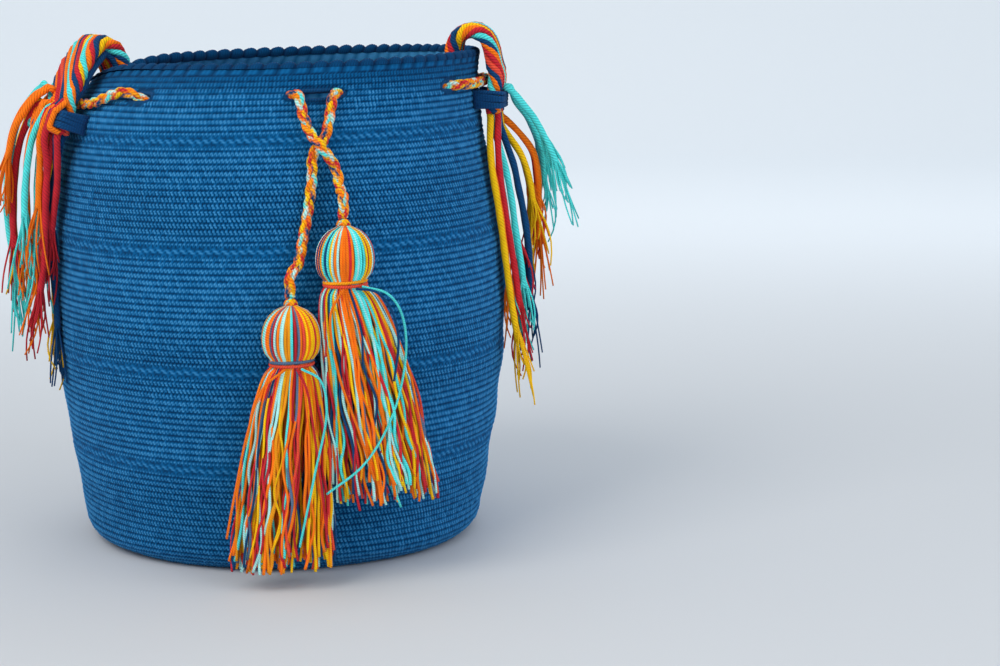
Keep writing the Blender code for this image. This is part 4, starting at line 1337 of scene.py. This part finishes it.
    def _under_layer(self, bundle: YarnBundle, end: StrapEnd) -> None:
        """Adds the cords that bulge from under the strap's arch over the rim."""
        place, width, out = self.end_frames(end)
        span = slice(3 * self.PER_SPAN, 10 * self.PER_SPAN + 1)
        place, width, out = place[span], unit(width[span]), unit(out[span])
        swell = np.sin(math.pi * np.linspace(0.0, 1.0, len(place))) ** 0.5
        colours = (Yarn.NAVY, Yarn.RED, Yarn.YELLOW, Yarn.ORANGE, Yarn.RED, Yarn.NAVY, Yarn.ORANGE)
        for k, yarn in enumerate(colours):
            across = (k - 3) * 0.0038
            depth = -(0.0010 + 0.0052 * swell)
            line = place + width * across + out * depth[:, None]
            line = even_points(line, 0.003)
            bundle.add(line, 0.0019, yarn, **self.CORD_LOOK)

    def _over_layer(self, bundle: YarnBundle, end: StrapEnd) -> None:
        """Adds the cords that run down over the lashing to the strap's tip."""
        size = self.size
        frames = self.end_frames(end)
        at = np.linspace(0.0, 3.1 * self.PER_SPAN, 26)
        place, width, out = (read_line(at, np.arange(len(v)), v) for v in frames)
        width, out = unit(width), unit(out)
        part = at / self.PER_SPAN
        rise = np.clip(part / 0.7, 0.0, 1.0) * np.clip((3.1 - part) / 0.8, 0.0, 1.0)
        rise = smooth_step(rise)
        radius = 0.0017
        low, high = 0.5 * size.thickness - radius, 0.5 * size.thickness + 0.0027 + radius
        colours = (Yarn.ORANGE, Yarn.RED, Yarn.NAVY, Yarn.RED, Yarn.YELLOW, Yarn.ORANGE, Yarn.TURQUOISE,
                   Yarn.NAVY, Yarn.ORANGE, Yarn.TURQUOISE)
        for k, yarn in enumerate(colours):
            across = (k - 4.5) * 0.0033 + 0.0011 * np.sin(1.3 * part + 2.1 * k)
            height = low + (high - low) * rise + 0.0005 * np.sin(2.7 * k)
            line = place + width * across[:, None] + out * height[:, None]
            bundle.add(line, radius, yarn, **self.CORD_LOOK)

    def lashing(self, end: StrapEnd, finish: bpy.types.Material) -> bpy.types.Object:
        """Winds navy yarn over a strap end, down to the wall on both sides.

        Args:
            end: Which end.
            finish: Its yarn.

        Returns:
            The new object.
        """
        size = self.size
        place, width, out = self.end_frames(end)
        bundle = YarnBundle("strap_lashing_yarn_" + end.side)
        radius, turns = 0.0012, 7
        half_wide, top = 0.5 * size.width + 0.0006 + radius, 0.5 * size.thickness + 0.0003 + radius
        for k in range(turns):
            i = self.PER_SPAN * (1.0 + (k + 0.5) / turns)
            middle, wide, away = (frames[int(i)] * (1.0 - i % 1.0) + frames[int(i) + 1] * (i % 1.0)
                                  for frames in (place, width, out))
            slant = 0.0007 * math.sin(2.2 * k + 0.6) * np.cross(wide, away)
            feet = [self.shape.dropped(middle + wide * half_wide * sign, away, 0.0010) for sign in (-1.0, 1.0)]
            over = [(-half_wide, top - 0.0022), (-half_wide + 0.0016, top - 0.0004), (-0.5 * half_wide, top),
                    (0.5 * half_wide, top), (half_wide - 0.0016, top - 0.0004), (half_wide, top - 0.0022)]
            points = [middle + wide * a + away * b + slant * a / half_wide for a, b in over]
            line = smooth_curve([feet[0], *points, feet[1]], 4)
            bundle.add(line, radius, Yarn.NAVY, sides=8, groove=0.0015, shade=1.05)
        lashing = bundle.build(finish)
        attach(lashing, "bag")
        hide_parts("strap_lashing_" + end.side)
        return lashing


# Fringe


@dataclass(frozen=True)
class FraySize:
    """The loose yarn ends of a fringe cord."""

    strands: int = 15
    radius: float = 0.00066
    shortest: float = 0.012
    longest: float = 0.034
    spread: float = 0.30


class Fringe:
    """The strap's own cords, which run on past its lashed ends and fray."""

    YARNS = {
        "turquoise": Yarn.TURQUOISE, "orange": Yarn.ORANGE, "red": Yarn.RED, "yellow": Yarn.YELLOW,
        "navy": Yarn.NAVY,
    }
    # Cords that come off the strap's left end over its lashing
    COVER = {
        "red_cover": ("face", -0.0118, 0.0030, (
            (-58.2, 0.0440, 0.0195), (-59.8, 0.0560, 0.0155), (-61.7, 0.0700, 0.0128), (-63.2, 0.0880, 0.0118),
        )),
        "orange_cover": ("face", -0.0072, 0.0030, (
            (-59.9, 0.0440, 0.0206), (-61.0, 0.0540, 0.0185), (-62.3, 0.0680, 0.0168), (-63.2, 0.0840, 0.0160),
        )),
        "turquoise_cover": ("face", -0.0020, 0.0030, (
            (-62.2, 0.0440, 0.0226), (-63.4, 0.0560, 0.0232), (-64.7, 0.0720, 0.0230), (-65.6, 0.0900, 0.0222),
        )),
    }
    # Colour of the second cord beside each one
    SECOND = {
        "left": {
            "turquoise_arc": "turquoise", "orange_outer": "orange", "red_outer": "yellow",
            "orange_thick": "orange", "turquoise_middle": "turquoise", "red_middle": "orange",
            "red_inner": "navy", "navy_inner": "yellow",
        },
        "right": {
            "yellow_front": "orange", "red_front": "turquoise", "turquoise_front": "red",
            "navy_thick": "navy", "yellow_short": "orange", "orange_rear": "red",
            "turquoise_outer": "turquoise", "turquoise_rear": "turquoise",
        },
    }

    RADIUS = 0.00195
    STEP = 0.0018
    WALL_GAP = 0.0032
    FRAY_GAP = 0.0016

    def __init__(self, strap: Strap, fray: FraySize) -> None:
        self.strap, self.fray, self.shape = strap, fray, strap.shape
        self.chance = np.random.default_rng(11)

    def _start(self, end: StrapEnd, kind: str, across: float, other: float) -> tuple[np.ndarray, np.ndarray]:
        place, width, out = self.strap.end_frames(end)
        size = self.strap.size
        if kind == "tip":
            direction = unit(np.cross(width[0], out[0]))
            direction = -direction if direction[2] > 0.0 else direction
            return place[0] + width[0] * across + out[0] * other + direction * size.seat, direction
        along = along_line(place)
        at = along[2 * self.strap.PER_SPAN] + other
        middle, wide, away = (read_line(at, along, v) for v in (place, width, out))
        away = unit(away)
        return middle + wide * across + away * (0.5 * size.thickness + size.seat), away

    def _route(self, end: StrapEnd, place: tuple) -> np.ndarray:
        """Follows one cord from the strap, for an entry like those of FRINGE."""
        kind, across, other, places = place
        start, direction = self._start(end, kind, across, other)
        route = [start, start + direction * self.strap.size.stub]
        route += [self.shape.at(angle, self.shape.size.height - drop, off) for angle, drop, off in places]
        return even_points(smooth_curve(route), self.STEP)

    def _off_wall(self, line: np.ndarray, gap: float) -> np.ndarray:
        """Pushes points out of the wall to at least a gap from it."""
        shift = self.shape.shift(line[:, 2])
        x, y = line[:, 0] - shift, line[:, 1]
        radius = np.maximum(np.hypot(x, y), 1e-6)
        grow = np.maximum(1.0, (self.shape.radius(line[:, 2]) + gap) / radius)
        return np.stack([x * grow + shift, y * grow, line[:, 2]], axis=1)

    def _cord(self, name: str, line: np.ndarray, colour: str, finish: bpy.types.Material) -> bpy.types.Object:
        """Makes one cord with its frayed end."""
        yarn = self.YARNS[colour]
        bundle = YarnBundle(name + "_cord")
        radius = self.RADIUS * (1.0 + 0.05 * np.sin(along_line(line) / 0.0031 + len(name)))
        bundle.add(line, radius, yarn, sides=10, plies=5, groove=0.0021)
        cord = bundle.build(finish)
        tuft = self._tuft(name + "_fray", line, yarn, finish)
        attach(cord, "bag")
        return cord

    def _beside(self, line: np.ndarray, side: int) -> np.ndarray:
        """Runs a second, shorter cord beside a cord's middle line, on side 1 or -1."""
        tangents, out = away_from_axis(line)
        over = np.cross(tangents, out) * side
        along = along_line(line)
        spread = np.clip(along / 0.030, 0.0, 1.0)[:, None]
        drift = np.sin(along / 0.021 + 2.0 * side)[:, None]
        moved = line + over * (0.0012 + 0.0036 * spread + 0.0006 * drift) - out * (0.0008 * spread)
        keep = max(12, round(len(line) * (0.86 + 0.1 * side)))
        return self._off_wall(moved[:keep], self.WALL_GAP)

    def _tuft(self, name: str, line: np.ndarray, yarn: Yarn, finish: bpy.types.Material):
        bundle, fray, chance = YarnBundle(name), self.fray, self.chance
        heading = unit(line[-1] - line[-4])
        guide = unit(np.cross(heading, np.array([0.3, 0.5, 0.8])))
        other = np.cross(heading, guide)
        down = np.array([0.0, 0.0, -1.0])
        for k in range(fray.strands):
            turn, far = chance.uniform(0.0, math.tau), 0.0015 * math.sqrt(chance.uniform(0.0, 1.0))
            sideway = guide * math.cos(turn) + other * math.sin(turn)
            length = chance.uniform(fray.shortest, fray.longest)
            lean = chance.uniform(0.1, 1.0) * fray.spread
            curl = chance.uniform(-0.35, 0.35) * np.cross(sideway, heading)
            t = np.linspace(0.0, 1.0, 9)[:, None]
            path = line[-1] - heading * chance.uniform(0.002, 0.009) + sideway * far + length * (
                heading * t + sideway * lean * t**1.5 + down * 0.35 * t**2 + curl * np.sin(3.0 * t) * t
            )
            path = self._off_wall(path, self.FRAY_GAP)
            thin = fray.radius * np.linspace(1.0, 0.7, 9)
            bundle.add(path, thin, yarn, sides=5, shade=chance.uniform(0.85, 1.15))
        tuft = bundle.build(finish)
        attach(tuft, "bag")
        return tuft

    def build(self, finish: bpy.types.Material) -> list[bpy.types.Object]:
        """Makes the cords with their frayed ends.

        Args:
            finish: Their yarn.

        Returns:
            The cords.
        """
        cords = []
        for end in STRAP_ENDS:
            for name, place in FRINGE[end.side].items():
                line = self._route(end, place)
                node = "fringe_%s_%s" % (end.side, name)
                cords.append(self._cord(node, line, name.split("_")[0], finish))
                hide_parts(node)
                second = self._beside(line, 1 if end.side == "left" else -1)
                cords.append(self._cord(node + "_second", second, self.SECOND[end.side][name], finish))
        for name, place in self.COVER.items():
            line = self._route(STRAP_ENDS[0], place)
            cords.append(self._cord("fringe_left_" + name, line, name.split("_")[0], finish))
        return cords


# Tassels


class Tassel:
    """A bundle of yarns folded over the cord's end and bound at its neck."""

    OUTER_RADIUS, INNER_RADIUS, STRAY_RADIUS = 0.00088, 0.0007, 0.00072
    HEAD_PARTS = (0.0, 0.06, 0.20, 0.40, 0.60, 0.80, 0.93, 1.0)
    HEAD_SIZES = (0.22, 0.50, 0.80, 0.98, 1.03, 0.97, 0.80, 0.70)
    COLOURS = (
        Yarn.ORANGE, Yarn.ORANGE, Yarn.ORANGE, Yarn.AMBER, Yarn.YELLOW, Yarn.YELLOW, Yarn.PALE,
        Yarn.TURQUOISE, Yarn.RED, Yarn.RED, Yarn.CORAL, Yarn.SLATE, Yarn.NAVY,
    )
    # Strands that stray from the bundle, as (across, level under the neck, out) places
    STRAYS = {
        "left": (
            (Yarn.TURQUOISE, ((0.004, 0.0, 0.0215), (0.0125, -0.006, 0.0225), (0.0155, -0.022, 0.0225),
                              (0.0090, -0.060, 0.0235), (0.0020, -0.098, 0.0230))),
            (Yarn.ORANGE, ((-0.003, 0.0, 0.0215), (-0.0135, -0.010, 0.0215), (-0.021, -0.034, 0.0215),
                           (-0.028, -0.070, 0.0210), (-0.0325, -0.094, 0.0190))),
            (Yarn.RED, ((0.002, 0.0, 0.0215), (0.006, -0.010, 0.0225), (0.010, -0.040, 0.0230),
                        (0.0135, -0.075, 0.0225), (0.0150, -0.092, 0.0215))),
        ),
        "right": (
            (Yarn.TURQUOISE, ((0.006, 0.001, 0.0215), (0.0180, -0.0035, 0.0225), (0.0255, -0.0145, 0.0215),
                              (0.0285, -0.036, 0.0205), (0.0205, -0.070, 0.0225), (0.0060, -0.096, 0.0230),
                              (-0.0120, -0.112, 0.0210))),
            (Yarn.NAVY, ((0.003, 0.0, 0.0215), (0.012, -0.002, 0.0235), (0.0200, -0.0125, 0.0225),
                         (0.0240, -0.030, 0.0215), (0.0215, -0.052, 0.0215))),
            (Yarn.ORANGE, ((-0.003, 0.0, 0.0215), (-0.009, -0.013, 0.0215), (-0.006, -0.045, 0.0225),
                           (0.0040, -0.080, 0.0230), (0.0110, -0.106, 0.0225))),
        ),
    }

    def __init__(self, size: TasselSize) -> None:
        self.size = size
        self.chance = np.random.default_rng(3 if size.side == "left" else 8)
        self.middle = size.head * size.head_depth + size.flute
        self.top = 0.0008
        self.neck = -size.knot - size.head_length
        self.below = self.neck - size.tie_height - 0.0006

    def section(self, level: np.ndarray) -> tuple[np.ndarray, np.ndarray, np.ndarray, np.ndarray]:
        """Reads the bundle's section.

        Args:
            level: Heights above the pivot.

        Returns:
            Half width, half depth, lean, and how far down the skirt it is from 0 to 1.
        """
        size = self.size
        head = np.clip((self.top - level) / (self.top - self.neck), 0.0, 1.0)
        wide = np.array([eased(self.HEAD_PARTS, self.HEAD_SIZES, h) for h in head]) * size.head
        deep = wide * size.head_depth
        part = np.clip((self.below - level) / size.skirt, 0.0, 1.05)
        slim = size.neck * size.head_depth
        skirt_wide = size.neck + (size.foot - size.neck) * part**0.44
        skirt_deep = slim + (size.foot_depth - slim) * part + 0.0024 * np.sin(math.pi * np.clip(part, 0, 1))
        in_skirt = level < self.below
        wide, deep = np.where(in_skirt, skirt_wide, wide), np.where(in_skirt, skirt_deep, deep)
        return wide, deep, size.lean * part**0.8, part

    def _strand(self, bundle: YarnBundle, turn: float, share: float, from_top: bool, radius: float) -> None:
        chance, size = self.chance, self.size
        start = self.top if from_top else self.neck + 0.0008
        foot = self.below - size.skirt * (1.0 + chance.uniform(-0.13, 0.028))
        level = np.linspace(start, foot, max(8, round((start - foot) / 0.0027)))
        wide, deep, lean, part = self.section(level)
        loose = np.clip(part * 3.0, 0.0, 1.0) * part**0.4
        waves = [chance.uniform(0.030, 0.090) for _ in range(3)]
        shifts = [chance.uniform(0.0, math.tau) for _ in range(3)]
        ripple = [np.sin(math.tau * level / w + s) for w, s in zip(waves, shifts)]
        swerve = turn + chance.normal(0.0, 0.22) * loose + 0.05 * ripple[0] * loose
        across = (wide * share - radius) * np.sin(swerve) + lean + 0.0012 * ripple[1] * loose
        out = self.middle - (deep * share - radius) * np.cos(swerve) + 0.0008 * ripple[2] * loose
        out = np.maximum(out, radius + 0.0005)
        yarn = self.COLOURS[int(chance.integers(len(self.COLOURS)))]
        bundle.add(
            size.place(across, level, out), radius, yarn, sides=5, shade=chance.uniform(0.95, 1.28),
        )

    def yarns(self, finish: bpy.types.Material) -> bpy.types.Object:
        """Lays the bundle's yarns.

        Args:
            finish: Their yarn.

        Returns:
            The new object.
        """
        bundle = YarnBundle("tassel_%s_bundle" % self.size.side)
        outer, inner = ((62, 104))
        for k in range(outer):
            turn = math.tau * (k + self.chance.uniform(-0.3, 0.3)) / outer
            self._strand(bundle, turn, 1.0, True, self.OUTER_RADIUS)
        for _ in range(inner):
            turn, share = self.chance.uniform(0.0, math.tau), math.sqrt(self.chance.uniform(0.3, 1.15))
            self._strand(bundle, turn, share, False, self.INNER_RADIUS)
        for yarn, places in self.STRAYS[self.size.side]:
            across, level, out = np.array(places).T
            line = self.size.place(across, self.neck - 0.003 + level, out)
            bundle.add(even_points(smooth_curve(list(line)), 0.0022), self.STRAY_RADIUS, yarn, sides=5)
        return self._finished(bundle.build(finish), "yarns")

    def tie(self, finish: bpy.types.Material) -> bpy.types.Object:
        """Winds the yarn that binds the neck.

        Args:
            finish: Its yarn.

        Returns:
            The new object.
        """
        bundle = YarnBundle("tassel_%s_neck_tie" % self.size.side)
        size, radius = self.size, 0.0009
        turn = np.linspace(0.0, math.tau, 41)
        for k, yarn in enumerate(size.tie):
            level = self.neck + 0.0002 - 0.0017 * k + 0.0005 * np.sin(turn + k)
            across = (size.neck + 0.0006) * np.sin(turn)
            out = self.middle - (size.neck * size.head_depth + 0.0006) * np.cos(turn)
            bundle.add(size.place(across, level, out), radius, yarn, sides=7)
        return self._finished(bundle.build(finish), "binding")

    def knot(self, finish: bpy.types.Material) -> bpy.types.Object:
        """Ties the braid's end in a round knot.

        Args:
            finish: Its yarn.

        Returns:
            The new object.
        """
        bundle = YarnBundle("tassel_%s_cord_knot" % self.size.side)
        centre, radius = self.size.centre() + np.array([0.0, 0.0, 0.0012]), 0.0014
        turn = np.linspace(0.0, math.tau, 25)[:, None]
        around = 0.0040 - radius
        colours = (Yarn.ORANGE, Yarn.TURQUOISE, Yarn.YELLOW, Yarn.RED, Yarn.AMBER, Yarn.ORANGE, Yarn.RED)
        for k, yarn in enumerate(colours):
            axis = unit(np.array([math.cos(2.4 * k), math.sin(2.4 * k), 0.9 * math.cos(1.3 * k)]))
            first = unit(np.cross(axis, np.array([0.21, 0.35, 0.91])))
            second = np.cross(axis, first)
            line = centre + around * (first * np.cos(turn) + second * np.sin(turn))
            bundle.add(line, radius, yarn, sides=8, groove=0.0015)
        return self._finished(bundle.build(finish), "top_knot")

    def _finished(self, obj: bpy.types.Object, node: str) -> bpy.types.Object:
        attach(obj, "tassel_" + self.size.side)
        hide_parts("tassel_%s_%s" % (self.size.side, node))
        return obj


# Surroundings


@dataclass(frozen=True)
class Studio:
    """The pale paper sweep, the soft lights and the camera."""

    # Ends of the sheet's ramp: paper carries painted light at the back, floor painted shade where the bag stands
    paper: str = "EEF4F9"
    floor: str = "D2D6DA"
    painted_glow: float = 0.10
    focal_mm: float = 82.8
    sensor_mm: float = 36.0
    place: tuple[float, float, float] = (0.1308, -1.367, 0.347)
    pitch: float = 80.48

    def camera(self) -> None:
        """Sets the camera to the photo's view."""
        data = bpy.data.cameras.new("camera")
        data.lens, data.sensor_width = self.focal_mm, self.sensor_mm
        data.clip_start, data.clip_end = 0.01, 30.0
        camera = bpy.data.objects.new("camera", data)
        camera.location = self.place
        camera.rotation_euler = (math.radians(self.pitch), 0.0, 0.0)
        bpy.context.scene.collection.objects.link(camera)
        bpy.context.scene.camera = camera

    def sweep(self) -> None:
        """Makes the floor, which curves up into a backdrop far behind."""
        turn = np.linspace(0.0, 0.5 * math.pi, 17)
        radius, back, top = 0.9, 2.4, 3.2
        profile = [(-3.0, 0.0), (-1.0, 0.0), (0.0, 0.0), (1.0, 0.0)]
        profile += [(back + radius * math.sin(t), radius - radius * math.cos(t)) for t in turn]
        profile += [(back + radius, top)]
        verts = [(x, y, z) for y, z in profile for x in (-4.0, 4.0)]
        faces = [(2 * i, 2 * i + 1, 2 * i + 3, 2 * i + 2) for i in range(len(profile) - 1)]
        mesh = bpy.data.meshes.new("paper_sweep")
        mesh.from_pydata(verts, [], faces)
        material, tree, shader = matte_material("matte_backdrop_paper", 0.95, 0.1)
        coords = add_node(tree, "ShaderNodeTexCoord")
        # The sheet is painted greyer where the bag stands and paler towards the back: painted shade and painted
        # light on one paper
        axes = add_node(tree, "ShaderNodeSeparateXYZ", {0: coords.outputs["Object"]})
        away = add_node(
            tree, "ShaderNodeMapRange", {"Value": axes.outputs[1], "From Min": 0.15, "From Max": 1.7},
            interpolation_type="SMOOTHSTEP",
        )
        tone = add_node(tree, "ShaderNodeValToRGB", {"Fac": away.outputs[0]})
        stops = tone.color_ramp.elements
        stops[0].color, stops[1].color = linear_colour(self.floor), linear_colour(self.paper)
        tree.links.new(tone.outputs[0], shader.inputs["Base Color"])
        tree.links.new(tone.outputs[0], shader.inputs["Emission Color"])
        # Painted light: the paper glows a little, more towards the back
        painted_glow = add_node(tree, "ShaderNodeMath", {0: away.outputs[0], 1: self.painted_glow}, operation="MULTIPLY")
        tree.links.new(painted_glow.outputs[0], shader.inputs["Emission Strength"])
        sweep = add_object(mesh, material)

    def light(self, name: str, place: tuple, aim: tuple, size: float, watts: float, tint: str) -> None:
        """Adds a soft area light.

        Args:
            name: Its name.
            place: Where it stands.
            aim: What it points at.
            size: Its side.
            watts: Its power.
            tint: Its colour as sRGB hex.
        """
        data = bpy.data.lights.new(name, "AREA")
        data.shape, data.size, data.energy = "SQUARE", size, watts
        data.color = linear_colour(tint)[:3]
        lamp = bpy.data.objects.new(name, data)
        lamp.location = place
        z = unit(np.array(place) - np.array(aim))
        x = unit(np.cross(np.array([0.0, 0.0, 1.0]), z))
        y = np.cross(z, x)
        rows = np.stack([x, y, z], axis=1)
        lamp.rotation_euler = mathutils.Matrix(rows.tolist()).to_euler()
        bpy.context.scene.collection.objects.link(lamp)

    def build(self) -> None:
        """Sets up the world, the sweep and the lights."""
        world = bpy.data.worlds.new("soft_room")
        world.use_nodes = True
        background = world.node_tree.nodes["Background"]
        background.inputs["Color"].default_value = linear_colour("EEF3F8")
        background.inputs["Strength"].default_value = 0.72
        bpy.context.scene.world = world
        self.sweep()
        self.light("key", (-1.0, -1.3, 1.7), (0.0, 0.0, 0.12), 1.3, 21.0, "FFF8F0")
        self.light("fill", (1.5, -1.1, 1.0), (0.0, 0.0, 0.12), 1.4, 8.0, "F2F6FF")
        self.light("back", (0.5, 1.6, 1.8), (0.0, 0.2, 0.1), 1.6, 6.0, "F6F9FF")
        bpy.context.scene.view_settings.view_transform = "Standard"


def main() -> None:
    """Builds the scene."""
    shape = WallShape(BagSize())
    eyelets = EyeletSize()
    braid = DrawstringSize()
    studio = Studio()
    studio.camera()
    LOG.info("camera set")
    yarn = YarnFinish("dyed_cotton_yarn").build()
    Drawstring(braid, shape, eyelets).build(yarn)
    LOG.info("drawstring braided")
    strap = Strap(StrapSize(), shape, eyelets, braid)
    Fringe(strap, FraySize()).build(yarn)
    LOG.info("fringe laid")
    strap.build(yarn)
    LOG.info("strap laid")
    for size in TASSELS:
        tassel = Tassel(size)
        tassel.knot(yarn)
        tassel.yarns(yarn)
        tassel.tie(yarn)
        LOG.info("%s tassel tied", size.side)
    CrochetBody(shape, eyelets).build()
    LOG.info("body crocheted")
    studio.build()
    LOG.info("studio set")


if __name__ == "__main__":
    main()
